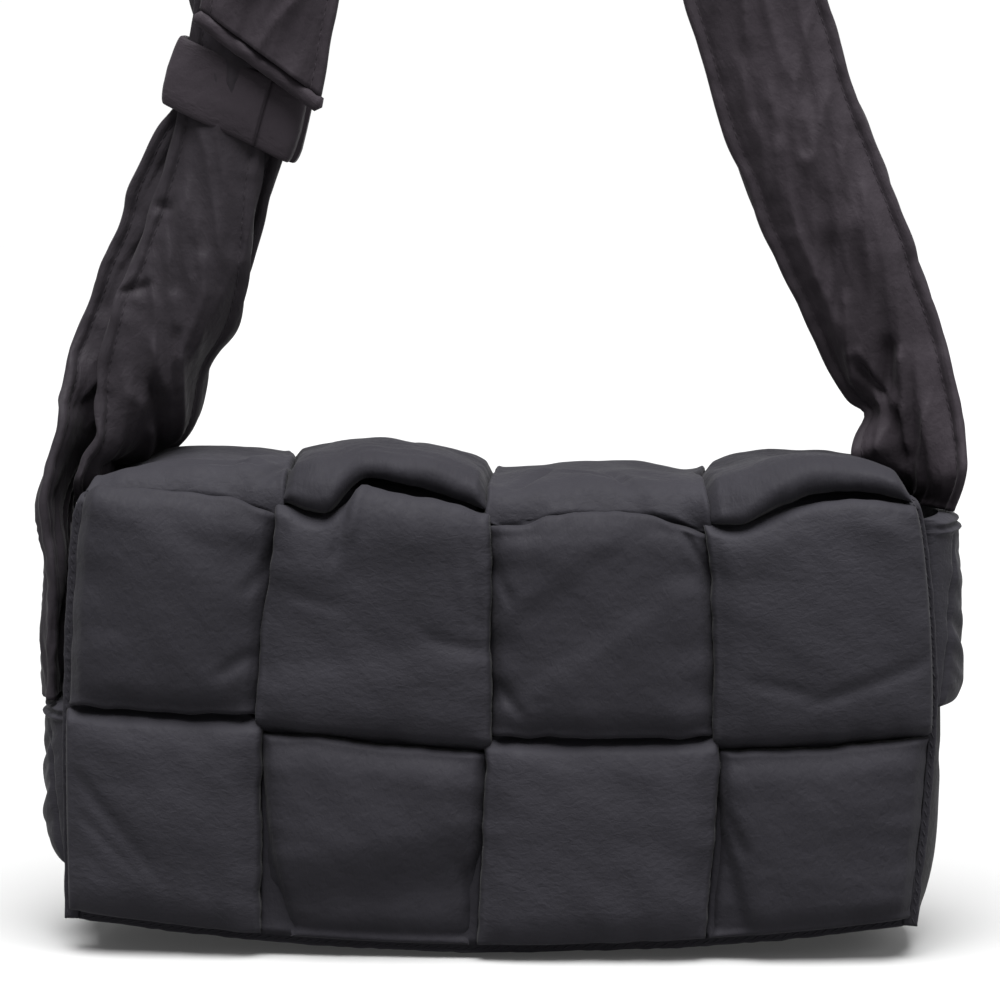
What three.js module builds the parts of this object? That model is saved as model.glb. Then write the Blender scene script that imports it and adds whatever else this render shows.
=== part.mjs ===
// A padded shoulder bag in crinkled nylon. Broad padded strips are woven into one cover that runs
// up the back, over the top and down the front as a flap. Under it is an open-topped pouch closed by
// two gussets, and a wide padded strap rises from the gussets. Millimetres, +Z up, the front faces -Y,
// and the origin is the middle of the base.
import * as THREE from "three";

const { degToRad, lerp, smoothstep } = THREE.MathUtils;

// Driving dimensions of the woven cover, measured on the surface between its two plies.
const ROW_PITCH = 75; // breadth of a row on the front and on the back
const COLUMN_EDGES = [-1, -0.543, -0.018, 0.498, 1]; // where the columns meet, left end to right end
const COVER_HALF_WIDTH = 145; // nominal, for margins and for how far a point is from the middle
const COVER_HALF_DEPTH = 33;
const HEM_HEIGHT = 2; // lower edge of the flap above the floor
const SHOULDER_HEIGHT = 147.5; // where the front starts to turn over the top
const CORNER_RADIUS = 16;
const CORNER_TURN = degToRad(76);
const FRONT_BULGE = 5; // the front and back stand out this far in the middle
const END_LIFT = 10; // the front and back ride up this far at the two ends
const TOP_DROOP = 12; // the top drops this far at the two ends
const DROOP_FROM = 130.5; // the lift starts to give way to the droop this far up from the hem

// Padding of the strips.
const PLY_GAP = 0.5; // between two strips that cross
const CROSSING = 3; // half the space between neighbouring strips, where a crossing strip dives
const EDGE_HALF = 1.25; // half thickness at a sewn edge
const OVER_HALF = 4.5; // half thickness of the padding where a strip shows
const UNDER_HALF = 2.6; // half thickness where a strip is hidden and pressed flat
const BORDER = 5; // breadth of the sewn border round the cover
const BORDER_HALF = 2.2;
const CROWN_FLATNESS = 3; // a higher power keeps a padded cell flat further from its middle
const CROWN_ROUNDNESS = 0.6; // a lower power makes its edge blunter

// The pouch, the gussets and the fabric round them.
const SEAM_GAP = 0.4;
const WALL = 3;
const POUCH_HALF_WIDTH = 138;
const POUCH_HALF_DEPTH = 27.1;
const POUCH_FRONT_TOP = 126.5;
const POUCH_BACK_TOP = 142.5;
const BASE_RADIUS = 10;
const BASE_FLAT = 95; // the base rests on the floor this far to each side
const BASE_END_RISE = 8; // and lifts this far at the gussets
const BASE_PLACES = [0, 48, BASE_FLAT, 118, POUCH_HALF_WIDTH]; // sections worked out to each side
const BASE_TURNS = [0, 30, 60, 90].map(degToRad); // steps round the base's corner
const GUSSET_HALF_DEPTH = 29;
const GUSSET_WALL = 3.5;
const BAND_HALF_DEPTH = 28;
const BAND_EDGE = 2;
const BAND_PUFF = 7.5;

// The keeper that holds the strap's loop, and the rolled hem on the strap's end.
const KEEPER = { width: 44.5, depth: 16.4, length: 24, wall: 2.5, corner: 4, tilt: degToRad(16) };
const KEEPER_SLANT = -0.167; // its edges fall this far for each millimetre to the right
const KEEPER_AT = new THREE.Vector3(-91, 0.5, 291.5);
const KEEPER_CORNER_STEPS = 3;
const ROLLED_HEM_RADIUS = 3.4;
const ROLLED_HEM_SIDES = 10;
const ROLLED_HEM_STEPS = 4;

const SHELL_NYLON = new THREE.MeshStandardMaterial({ color: 0x36353a, roughness: 0.72, metalness: 0 });
const STRAP_NYLON = new THREE.MeshStandardMaterial({ color: 0x393539, roughness: 0.68, metalness: 0 });
const BODY_NYLON = new THREE.MeshStandardMaterial({ color: 0x313035, roughness: 0.75, metalness: 0 });

// How the cover's half width changes from the hem to the middle of the top, and how far it leans to
// the right.
const COVER_WIDTHS = [
  { along: 0, half: 146, shift: -3 },
  { along: 77, half: 149, shift: 0 },
  { along: 145.5, half: 142, shift: 1 },
  { along: 189.5, half: 133.5, shift: 0 },
];

// How far the line between the two front rows rides up from its place, along the bag.
const ROW_DRIFT = [
  { across: -1, drift: -3.5 },
  { across: -0.5, drift: 0.5 },
  { across: 0, drift: -2.5 },
  { across: 0.5, drift: -4.5 },
  { across: 1, drift: -7 },
];

// How far the line between the upper front row and the top rides up, along the bag.
const TOP_LINE_DRIFT = [
  { across: -1, drift: 6.5 },
  { across: -0.7, drift: 5.5 },
  { across: -0.54, drift: -0.5 },
  { across: -0.42, drift: -1.5 },
  { across: -0.32, drift: 5.5 },
  { across: -0.02, drift: 1 },
  { across: 0.24, drift: 4.5 },
  { across: 0.5, drift: -5 },
  { across: 0.6, drift: -5 },
  { across: 0.75, drift: 0.5 },
  { across: 1, drift: -4 },
];
const TOP_LINE_REACH = 45; // this drift dies out at this distance to either side of the line

// How far the top sags along the bag: most where columns meet, and in the third column.
const TOP_SAG = [
  { across: -1, depth: 0 },
  { across: -0.543, depth: 1 },
  { across: -0.28, depth: 2 },
  { across: -0.1, depth: 5.5 },
  { across: -0.018, depth: 8 },
  { across: 0.1, depth: 7.5 },
  { across: 0.24, depth: 7 },
  { across: 0.498, depth: 7 },
  { across: 0.75, depth: 3 },
  { across: 1, depth: 0 },
];

// How much of the full padding each column has where it shows on the top of the bag.
const TOP_PADDING = [0.8, 0.95, 0.55, 0.9];

// How far the gusset panel bows out at each height.
const GUSSET_BOW = [
  { height: 9, bow: 3 },
  { height: 28, bow: 8 },
  { height: 55, bow: 10 },
  { height: 84, bow: 10 },
  { height: 116, bow: 9 },
  { height: 145.5, bow: 8 },
];

// The bands that cross the gussets: the right one high, the left one low.
const GUSSET_BANDS = [
  { name: "gusset_band_right", side: 1, bottom: 85.5, top: 147.5 },
  { name: "gusset_band_left", side: -1, bottom: 28.5, top: 84.5 },
];

// The strap over the shoulder, from the right gusset to its free end on the left. Turn is the way its
// breadth points, from 0, front to back, to 90, across the bag, and skew slants an end.
const SHOULDER_STRAP = [
  { x: 150.5, y: 0, z: 148.3, turn: -24, width: 38, thick: 7, skew: 0 },
  { x: 150.9, y: 0, z: 156.5, turn: -27, width: 38, thick: 7, skew: 0 },
  { x: 147, y: 0.5, z: 167.5, turn: -44, width: 38, thick: 7, skew: 0 },
  { x: 140.8, y: 2, z: 184.5, turn: -60, width: 38, thick: 7.5, skew: 0 },
  { x: 133, y: 2, z: 202.5, turn: -75, width: 42, thick: 8, skew: 0 },
  { x: 124.5, y: 0, z: 222.5, turn: -85, width: 44, thick: 8, skew: 0 },
  { x: 116, y: -2, z: 243.5, turn: -90, width: 46, thick: 8, skew: 0 },
  { x: 99, y: -3, z: 285.5, turn: -90, width: 47, thick: 8, skew: 0 },
  { x: 86.5, y: -3, z: 325.5, turn: -90, width: 47, thick: 8, skew: 0 },
  { x: 78.5, y: -2, z: 356.5, turn: -82, width: 47, thick: 8, skew: 0 },
  { x: 71, y: -1, z: 389.5, turn: -62, width: 47, thick: 8, skew: 0 },
  { x: 63, y: 0, z: 420.5, turn: -40, width: 47, thick: 8, skew: 0 },
  { x: 51, y: 0, z: 447.5, turn: -20, width: 47, thick: 8, skew: 0 },
  { x: 31, y: 0, z: 468.5, turn: -6, width: 47, thick: 8, skew: 0 },
  { x: 5, y: 0, z: 476.5, turn: 0, width: 47, thick: 8, skew: 0 },
  { x: -21, y: -1, z: 469, turn: 6, width: 47, thick: 8, skew: 0 },
  { x: -41, y: -2.5, z: 449.5, turn: 20, width: 47, thick: 8, skew: 0 },
  { x: -53.5, y: -5, z: 422.5, turn: 40, width: 47, thick: 8, skew: 0 },
  { x: -61.5, y: -8.5, z: 393.5, turn: 62, width: 47, thick: 8, skew: 0 },
  { x: -68.5, y: -11.5, z: 365.5, turn: 82, width: 46, thick: 7.5, skew: 0 },
  { x: -74, y: -13.2, z: 342.5, turn: 90, width: 46, thick: 7, skew: 0.15 },
  { x: -78.5, y: -14, z: 322.5, turn: 90, width: 46, thick: 6.5, skew: 0.36 },
  { x: -81.5, y: -14, z: 307, turn: 90, width: 46, thick: 6, skew: 0.47 },
];

// The doubled loop on the left: up from the inside of the gusset, over, and down its outside.
const STRAP_LOOP = [
  { x: -147.2, y: 0, z: 146.1, turn: 0, width: 34, thick: 6, skew: 0 },
  { x: -146, y: 0, z: 155, turn: 4, width: 34, thick: 6, skew: 0 },
  { x: -139.5, y: 0, z: 165.5, turn: 20, width: 34, thick: 6, skew: 0 },
  { x: -130, y: -1, z: 174.5, turn: 42, width: 35, thick: 6.5, skew: 0 },
  { x: -124, y: -2.5, z: 185, turn: 62, width: 38, thick: 7, skew: 0 },
  { x: -118.5, y: -4.5, z: 202.5, turn: 75, width: 41, thick: 7, skew: 0 },
  { x: -110, y: -6, z: 222.5, turn: 86, width: 42, thick: 7, skew: 0 },
  { x: -104.5, y: -5.6, z: 242.5, turn: 90, width: 38, thick: 7, skew: 0 },
  { x: -99.5, y: -4.8, z: 266.5, turn: 90, width: 33, thick: 5.6, skew: 0 },
  { x: -91.5, y: -4.6, z: 302.5, turn: 90, width: 33, thick: 5.6, skew: 0 },
  { x: -84, y: -4.6, z: 338.5, turn: 90, width: 37, thick: 5.6, skew: 0 },
  { x: -82, y: -2.8, z: 347.5, turn: 90, width: 39, thick: 4.6, skew: 0 },
  { x: -81.6, y: 0.3, z: 349.9, turn: 90, width: 40, thick: 4.6, skew: 0 },
  { x: -82, y: 3.4, z: 347.5, turn: 90, width: 42, thick: 4.6, skew: 0 },
  { x: -84.5, y: 5.2, z: 338.5, turn: 90, width: 45, thick: 5.6, skew: 0 },
  { x: -88.4, y: 5.2, z: 302.5, turn: 90, width: 38, thick: 5.6, skew: 0 },
  { x: -93.6, y: 5.3, z: 284, turn: 90, width: 40, thick: 5.8, skew: 0 },
  { x: -102, y: 5.6, z: 266.5, turn: 90, width: 47, thick: 6, skew: 0 },
  { x: -109, y: 6.6, z: 245.5, turn: 90, width: 48, thick: 6.5, skew: 0 },
  { x: -115.5, y: 7.5, z: 228.5, turn: 88, width: 48, thick: 6.5, skew: 0 },
  { x: -123, y: 8.5, z: 211.5, turn: 82, width: 48, thick: 6.5, skew: 0 },
  { x: -131.5, y: 8.5, z: 194.5, turn: 70, width: 47, thick: 6.5, skew: 0 },
  { x: -143, y: 7, z: 178.5, turn: 36, width: 46, thick: 6, skew: 0 },
  { x: -152, y: 3.5, z: 164.5, turn: 10, width: 45, thick: 5.6, skew: 0 },
  { x: -154.8, y: 1, z: 151.5, turn: 5, width: 44, thick: 5.2, skew: 0 },
  { x: -154.6, y: 0, z: 136.5, turn: 0, width: 44, thick: 5.2, skew: 0 },
  { x: -154.8, y: 0, z: 85.5, turn: 0, width: 44, thick: 5, skew: 0 },
];
const STRAP_STEPS = 2; // sections worked out for each row of a strap's table

// Outline of a padded strap: share of the half width, share of the half thickness.
const STRAP_OUTLINE = [
  { across: 1, through: 0.3 },
  { across: 0.72, through: 0.86 },
  { across: 0, through: 1 },
  { across: -0.72, through: 0.86 },
  { across: -1, through: 0.3 },
  { across: -1, through: -0.3 },
  { across: -0.72, through: -0.86 },
  { across: 0, through: -1 },
  { across: 0.72, through: -0.86 },
  { across: 1, through: -0.3 },
];

// Where the points of a padded cell lie, as shares of its length and of its breadth. Both sets of
// strips use these places, so that their facets follow each other.
const CELL_STEPS = [0, 0.15, 0.38, 0.62, 0.85, 1];

// Meshes from grids and rings of points

// A geometry from points and triangles, with its faces turned outwards.
function closedGeometry(points, triangles) {
  const volume = triangles.reduce(
    (sum, [a, b, c]) => sum + points[a].dot(new THREE.Vector3().crossVectors(points[b], points[c])),
    0,
  );
  const faces = volume < 0 ? triangles.map(([a, b, c]) => [a, c, b]) : triangles;
  const geometry = new THREE.BufferGeometry().setFromPoints(points);
  geometry.setIndex(faces.flat());
  geometry.computeVertexNormals();
  return geometry;
}

// A sheet with two faces: two grids of points of the same size, joined round the edge.
function sheetGeometry(outer, inner) {
  const rows = outer.length;
  const columns = outer[0].length;
  const points = [...outer.flat(), ...inner.flat()];
  const below = rows * columns;
  const triangles = [];
  const quad = (a, b, c, d) => triangles.push([a, b, c], [a, c, d]);
  const at = (row, column) => row * columns + column;
  for (let i = 0; i + 1 < rows; i++) {
    for (let j = 0; j + 1 < columns; j++) {
      const [a, b, c, d] = [at(i, j), at(i, j + 1), at(i + 1, j + 1), at(i + 1, j)];
      quad(a, b, c, d);
      quad(a + below, d + below, c + below, b + below);
    }
    const [first, last] = [columns - 1, 0].map((j) => [at(i, j), at(i + 1, j)]);
    quad(first[0], first[0] + below, first[1] + below, first[1]);
    quad(last[1], last[1] + below, last[0] + below, last[0]);
  }
  for (let j = 0; j + 1 < columns; j++) {
    const [start, end] = [0, rows - 1].map((i) => [at(i, j), at(i, j + 1)]);
    quad(start[0], start[0] + below, start[1] + below, start[1]);
    quad(end[1], end[1] + below, end[0] + below, end[0]);
  }
  return closedGeometry(points, triangles);
}

// A bar through rings of points, each ring closed, with flat ends.
function ringGeometry(rings) {
  const sides = rings[0].length;
  const points = rings.flat();
  const triangles = [];
  for (let i = 0; i + 1 < rings.length; i++) {
    for (let k = 0; k < sides; k++) {
      const next = (k + 1) % sides;
      const [a, b] = [i * sides + k, i * sides + next];
      triangles.push([a, b, b + sides], [a, b + sides, a + sides]);
    }
  }
  const end = (rings.length - 1) * sides;
  for (let k = 1; k + 1 < sides; k++) {
    triangles.push([0, k + 1, k], [end, end + k, end + k + 1]);
  }
  return closedGeometry(points, triangles);
}

// A value from a table of rows, on straight lines between the rows.
function fromTable(table, key, column, value) {
  const after = table.findIndex((row) => row[key] >= value);
  if (after === 0) return table[0][column];
  if (after < 0) return table[table.length - 1][column];
  const [a, b] = [table[after - 1], table[after]];
  return lerp(a[column], b[column], (value - a[key]) / (b[key] - a[key]));
}

// The surface of the woven cover

const frontLength = SHOULDER_HEIGHT - HEM_HEIGHT;
const cornerLength = CORNER_RADIUS * CORNER_TURN;
const domeAngle = Math.PI / 2 - CORNER_TURN;
const domeHalfChord = COVER_HALF_DEPTH - CORNER_RADIUS * (1 - Math.cos(CORNER_TURN));
const domeRadius = domeHalfChord / Math.sin(domeAngle);
const domeTop =
  SHOULDER_HEIGHT + CORNER_RADIUS * Math.sin(CORNER_TURN) + domeRadius * (1 - Math.cos(domeAngle));
const coverLength = 2 * (frontLength + cornerLength + domeRadius * domeAngle);

// The cover's side view at a distance along it from the flap's hem. Lean is the turn of its outward
// direction, from 0, level, to a right angle, straight up.
function profileAt(along) {
  const onBack = along > coverLength / 2;
  const side = onBack ? 1 : -1;
  const fromHem = onBack ? coverLength - along : along;
  if (fromHem <= frontLength) {
    return { y: side * COVER_HALF_DEPTH, z: HEM_HEIGHT + fromHem, lean: 0, side };
  }
  if (fromHem <= frontLength + cornerLength) {
    const lean = (fromHem - frontLength) / CORNER_RADIUS;
    const y = COVER_HALF_DEPTH - CORNER_RADIUS * (1 - Math.cos(lean));
    return { y: side * y, z: SHOULDER_HEIGHT + CORNER_RADIUS * Math.sin(lean), lean, side };
  }
  const fromTop = (coverLength / 2 - fromHem) / domeRadius;
  const z = domeTop - domeRadius * (1 - Math.cos(fromTop));
  return { y: side * domeRadius * Math.sin(fromTop), z, lean: Math.PI / 2 - fromTop, side };
}

// A distance along the cover after the lines of the front rows have drifted; the hem stays.
function drifted(across, along) {
  const topLine = 2 * ROW_PITCH;
  const first = Math.sin(Math.PI * Math.min(along / topLine, 1)) ** 2;
  const second = 1 - smoothstep(Math.abs(along - topLine), 0, TOP_LINE_REACH);
  const rowDrift = fromTable(ROW_DRIFT, "across", "drift", across);
  const topLineDrift = fromTable(TOP_LINE_DRIFT, "across", "drift", across);
  return along + rowDrift * first + topLineDrift * second;
}

// A point midway between the plies. Across runs from -1, the left end, to 1, the right end.
function coverMiddle(across, nominalAlong) {
  const along = drifted(across, nominalAlong);
  const profile = profileAt(along);
  const fromHem = Math.min(along, coverLength - along);
  const end = across * across;
  const drooped = smoothstep(fromHem, DROOP_FROM, coverLength / 2);
  const sag = fromTable(TOP_SAG, "across", "depth", across);
  const shift = fromTable(COVER_WIDTHS, "along", "shift", fromHem);
  return new THREE.Vector3(
    across * fromTable(COVER_WIDTHS, "along", "half", fromHem) + shift,
    profile.y + profile.side * Math.cos(profile.lean) * FRONT_BULGE * (1 - end),
    profile.z + END_LIFT * end * (1 - drooped) - (TOP_DROOP * end * end + sag) * drooped,
  );
}

// A point that stands off the cover's middle surface, outwards. The slope is taken between points nearby.
const NEARBY = 0.5;
function coverPoint(across, along, rise) {
  const sideways = NEARBY / COVER_HALF_WIDTH;
  const right = coverMiddle(across + sideways, along).sub(coverMiddle(across - sideways, along));
  const onward = coverMiddle(across, along + NEARBY).sub(coverMiddle(across, along - NEARBY));
  const outward = right.cross(onward).normalize();
  return coverMiddle(across, along).addScaledVector(outward, rise);
}

// The weave

const ROW_NAMES = ["front_lower", "front_upper", "top", "back_upper", "back_lower"];
const frontEdges = [0, ROW_PITCH, 2 * ROW_PITCH];
const rowEdges = [...frontEdges, ...frontEdges.map((edge) => coverLength - edge).reverse()];
const acrossUnit = 1 / COVER_HALF_WIDTH; // one millimetre, as a share of the half width
const TOP_ROW = ROW_NAMES.indexOf("top");

// An upright strip lies over the crossing one in every second cell.
const uprightIsOver = (column, row) => (column + row) % 2 === 0;

// How full a padded cell is from one edge, 0, to the other, 1.
const fullness = (share) => (1 - Math.abs(2 * share - 1) ** CROWN_FLATNESS) ** CROWN_ROUNDNESS;

// A cell's two limits: short of its edges by the crossing space, or by the border at the outside.
function cellLimits(edges, cell, unit) {
  const inset = (outside) => unit * (outside ? BORDER + PLY_GAP : CROSSING);
  return [edges[cell] + inset(cell === 0), edges[cell + 1] - inset(cell === edges.length - 2)];
}

// The places along a strip: the steps of each cell, with the crossing between two cells.
function strideSteps(edges, unit) {
  return edges.slice(1).flatMap((edge, cell) => {
    const [from, to] = cellLimits(edges, cell, unit);
    const steps = CELL_STEPS.map((share) => ({ at: lerp(from, to, share), full: fullness(share), cell }));
    return cell < edges.length - 2 ? [...steps, { at: edge, full: 0, cell: null }] : steps;
  });
}

// A strip's breadth in one cell.
function breadthSteps(edges, cell, unit) {
  const [from, to] = cellLimits(edges, cell, unit);
  return CELL_STEPS.map((share) => ({ at: lerp(from, to, share), full: fullness(share) }));
}

// The padded strip on two sets of places. Over and padding say how it lies and how thick it is in a
// cell, and place turns a step of each set into a point of the cover.
function stripGeometry(strides, breadths, over, padding, place) {
  const face = (sign) =>
    strides.map((stride) =>
      breadths.map((breadth) => {
        if (stride.cell === null) return place(stride.at, breadth.at, sign * EDGE_HALF);
        const half = lerp(EDGE_HALF, padding(stride.cell), stride.full * breadth.full);
        const middle = (over(stride.cell) ? 1 : -1) * (PLY_GAP / 2 + half);
        return place(stride.at, breadth.at, middle + sign * half);
      }),
    );
  return sheetGeometry(face(1), face(-1));
}

// Half thickness of a strip in a cell.
function cellPadding(isOver, column, row) {
  if (!isOver) return UNDER_HALF;
  return row === TOP_ROW ? OVER_HALF * TOP_PADDING[column] : OVER_HALF;
}

function uprightStrip(column) {
  const over = (row) => uprightIsOver(column, row);
  return stripGeometry(
    strideSteps(rowEdges, 1),
    breadthSteps(COLUMN_EDGES, column, acrossUnit),
    over,
    (row) => cellPadding(over(row), column, row),
    (along, across, rise) => coverPoint(across, along, rise),
  );
}

function crossingStrip(row) {
  const over = (column) => !uprightIsOver(column, row);
  return stripGeometry(
    strideSteps(COLUMN_EDGES, acrossUnit),
    breadthSteps(rowEdges, row, 1),
    over,
    (column) => cellPadding(over(column), column, row),
    coverPoint,
  );
}

// The sewn border: one edge up each end of the cover, and a hem along its two lower edges.
function borderGeometry(acrossPlaces, alongPlaces) {
  const face = (rise) =>
    alongPlaces.map((along) => acrossPlaces.map((across) => coverPoint(across, along, rise)));
  return sheetGeometry(face(BORDER_HALF), face(-BORDER_HALF));
}

function sideBorder(side) {
  const places = strideSteps(rowEdges, 1).map((step) => step.at);
  return borderGeometry([side * (1 - BORDER * acrossUnit), side], [0, ...places, coverLength]);
}

function hemBorder(from) {
  const places = strideSteps(COLUMN_EDGES, acrossUnit).map((step) => step.at);
  return borderGeometry(places, [from, from + BORDER]);
}

// The pouch and its gussets

// Height of the pouch's base at a place along the bag: flat in the middle, lifted at the ends.
function baseRise(x) {
  const past = Math.max(0, Math.abs(x) - BASE_FLAT) / (POUCH_HALF_WIDTH - BASE_FLAT);
  return BASE_END_RISE * past * past;
}

// One U of the pouch's wall, front top to back top, inset from its outer face.
function pouchOutline(x, inset) {
  const end = (x / COVER_HALF_WIDTH) ** 2;
  const halfDepth = POUCH_HALF_DEPTH + FRONT_BULGE * (1 - end) - inset;
  const radius = BASE_RADIUS - inset;
  const centreZ = baseRise(x) + BASE_RADIUS;
  const corner = (side) =>
    BASE_TURNS.map((turn) => {
      const y = side * (halfDepth - radius + radius * Math.cos(turn));
      return new THREE.Vector3(x, y, centreZ - radius * Math.sin(turn));
    });
  return [
    new THREE.Vector3(x, -halfDepth, POUCH_FRONT_TOP),
    ...corner(-1),
    ...corner(1).reverse(),
    new THREE.Vector3(x, halfDepth, POUCH_BACK_TOP),
  ];
}

function pouchGeometry() {
  const places = [...BASE_PLACES.slice(1).reverse().map((x) => -x), ...BASE_PLACES];
  const wall = (inset) => places.map((x) => pouchOutline(x, inset));
  return sheetGeometry(wall(0), wall(WALL));
}

// Outer face of a gusset panel.
function gussetFace(y, z) {
  const bow = fromTable(GUSSET_BOW, "height", "bow", z);
  return POUCH_HALF_WIDTH + SEAM_GAP + GUSSET_WALL + bow * (1 - (y / GUSSET_HALF_DEPTH) ** 2);
}

const DEPTH_SHARES = [-1, -0.62, 0, 0.62, 1];

function gussetPanel(side) {
  const face = (inset) =>
    GUSSET_BOW.map(({ height }) =>
      DEPTH_SHARES.map((share) => {
        const y = share * GUSSET_HALF_DEPTH;
        return new THREE.Vector3(side * (gussetFace(y, height) - inset), y, height);
      }),
    );
  return sheetGeometry(face(0), face(GUSSET_WALL));
}

function gussetBand({ side, bottom, top }) {
  const face = (padded) =>
    CELL_STEPS.map((rowShare) =>
      DEPTH_SHARES.map((share) => {
        const y = share * BAND_HALF_DEPTH;
        const z = lerp(bottom, top, rowShare);
        const full = fullness(rowShare) * fullness((share + 1) / 2);
        const thick = padded ? lerp(BAND_EDGE, BAND_PUFF, full) : 0;
        return new THREE.Vector3(side * (gussetFace(y, z) + SEAM_GAP + thick), y, z);
      }),
    );
  return sheetGeometry(face(true), face(false));
}

// The straps

// Sections of a strap worked out between the rows of its table.
function strapSections(table) {
  const curve = new THREE.CatmullRomCurve3(table.map(({ x, y, z }) => new THREE.Vector3(x, y, z)));
  const last = table.length - 1;
  return Array.from({ length: last * STRAP_STEPS + 1 }, (_, step) => {
    const place = step / STRAP_STEPS;
    const row = table[Math.min(Math.floor(place), last - 1)];
    const next = table[Math.min(Math.floor(place), last - 1) + 1];
    const between = place - Math.min(Math.floor(place), last - 1);
    const value = (column) => lerp(row[column], next[column], between);
    const onward = curve.getTangent(place / last);
    const turn = degToRad(value("turn"));
    const breadth = new THREE.Vector3(Math.sin(turn), Math.cos(turn), 0);
    breadth.addScaledVector(onward, -breadth.dot(onward)).normalize();
    const face = new THREE.Vector3().crossVectors(onward, breadth);
    const size = { width: value("width"), thick: value("thick"), skew: value("skew") };
    return { centre: curve.getPoint(place / last), onward, breadth, face, ...size };
  });
}

// A point of a strap's section: shares of its half width and half thickness.
function strapPoint(section, across, through) {
  const out = (across * section.width) / 2;
  return section.centre
    .clone()
    .addScaledVector(section.breadth, out)
    .addScaledVector(section.onward, section.skew * out)
    .addScaledVector(section.face, (through * section.thick) / 2);
}

function strapGeometry(table) {
  const ring = (section) => STRAP_OUTLINE.map((p) => strapPoint(section, p.across, p.through));
  return ringGeometry(strapSections(table).map(ring));
}

// The rolled hem across the shoulder strap's slanted end.
function rolledHem() {
  const end = strapSections(SHOULDER_STRAP).at(-1);
  const [left, right] = [-1, 1].map((across) =>
    strapPoint(end, across, 0).addScaledVector(end.onward, ROLLED_HEM_RADIUS + SEAM_GAP),
  );
  const axis = new THREE.LineCurve3(left, right);
  const round = new THREE.Shape().absarc(0, 0, ROLLED_HEM_RADIUS, 0, 2 * Math.PI);
  return new THREE.ExtrudeGeometry(round, {
    extrudePath: axis,
    steps: ROLLED_HEM_STEPS,
    curveSegments: ROLLED_HEM_SIDES,
  });
}

// A rectangle with round corners, as a shape or as a hole.
function roundedRectangle(path, width, depth, radius) {
  const [w, d] = [width / 2, depth / 2];
  path.moveTo(-w + radius, -d);
  path.lineTo(w - radius, -d).absarc(w - radius, -d + radius, radius, -Math.PI / 2, 0);
  path.lineTo(w, d - radius).absarc(w - radius, d - radius, radius, 0, Math.PI / 2);
  path.lineTo(-w + radius, d).absarc(-w + radius, d - radius, radius, Math.PI / 2, Math.PI);
  path.lineTo(-w, -d + radius).absarc(-w + radius, -d + radius, radius, Math.PI, 1.5 * Math.PI);
  return path;
}

// The keeper: a band of fabric sewn into a loop.
function keeperGeometry() {
  const { width, depth, length, wall, corner } = KEEPER;
  const outer = roundedRectangle(new THREE.Shape(), width + 2 * wall, depth + 2 * wall, corner + wall);
  outer.holes.push(roundedRectangle(new THREE.Path(), width, depth, corner));
  const band = new THREE.ExtrudeGeometry(outer, {
    depth: length,
    bevelEnabled: false,
    curveSegments: KEEPER_CORNER_STEPS,
  });
  const slant = new THREE.Matrix4().makeShear(0, KEEPER_SLANT, 0, 0, 0, 0);
  return band.translate(0, 0, -length / 2).applyMatrix4(slant);
}

// The assembly

const bag = new THREE.Group();

function addPiece(name, geometry, material) {
  const piece = new THREE.Mesh(geometry, material);
  piece.name = name;
  bag.add(piece);
  return piece;
}

for (let column = 0; column + 1 < COLUMN_EDGES.length; column++) {
  addPiece(`upright_strip_${column + 1}`, uprightStrip(column), SHELL_NYLON);
}
ROW_NAMES.forEach((name, row) => addPiece(`crossing_strip_${name}`, crossingStrip(row), SHELL_NYLON));
addPiece("side_border_left", sideBorder(-1), SHELL_NYLON);
addPiece("side_border_right", sideBorder(1), SHELL_NYLON);
addPiece("flap_hem", hemBorder(0), SHELL_NYLON);
addPiece("back_hem", hemBorder(coverLength - BORDER), SHELL_NYLON);

addPiece("pouch", pouchGeometry(), BODY_NYLON);
addPiece("gusset_panel_left", gussetPanel(-1), BODY_NYLON);
addPiece("gusset_panel_right", gussetPanel(1), BODY_NYLON);
for (const band of GUSSET_BANDS) {
  addPiece(band.name, gussetBand(band), SHELL_NYLON);
}

addPiece("shoulder_strap", strapGeometry(SHOULDER_STRAP), STRAP_NYLON);
addPiece("strap_loop", strapGeometry(STRAP_LOOP), STRAP_NYLON);
addPiece("strap_end_hem", rolledHem(), STRAP_NYLON);
const keeper = addPiece("strap_keeper", keeperGeometry(), STRAP_NYLON);
keeper.position.copy(KEEPER_AT);
keeper.rotation.y = KEEPER.tilt;

export default bag;
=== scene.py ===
# Looks of a padded shoulder bag in crinkled charcoal nylon: a cover woven from broad padded strips, a
# pouch with gussets, and a wide padded strap. Lengths are millimetres until a mesh is made, +Z is up,
# and the front faces -Y.
import math
from collections import namedtuple
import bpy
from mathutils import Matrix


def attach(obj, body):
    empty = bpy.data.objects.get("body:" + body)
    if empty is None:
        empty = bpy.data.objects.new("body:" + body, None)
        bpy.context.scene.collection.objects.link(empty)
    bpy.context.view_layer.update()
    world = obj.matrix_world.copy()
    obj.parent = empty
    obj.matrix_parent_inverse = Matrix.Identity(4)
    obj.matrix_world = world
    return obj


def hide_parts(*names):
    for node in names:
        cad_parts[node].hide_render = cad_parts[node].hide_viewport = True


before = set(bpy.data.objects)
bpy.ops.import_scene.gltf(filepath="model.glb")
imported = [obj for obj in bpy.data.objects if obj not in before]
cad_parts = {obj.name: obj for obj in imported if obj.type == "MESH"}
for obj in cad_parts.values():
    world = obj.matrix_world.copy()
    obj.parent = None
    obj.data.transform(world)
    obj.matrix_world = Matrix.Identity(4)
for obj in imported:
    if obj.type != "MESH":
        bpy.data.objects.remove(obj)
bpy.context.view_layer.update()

from types import SimpleNamespace as Named

import bpy
import numpy as np
from mathutils import Vector

MM = 0.001

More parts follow.
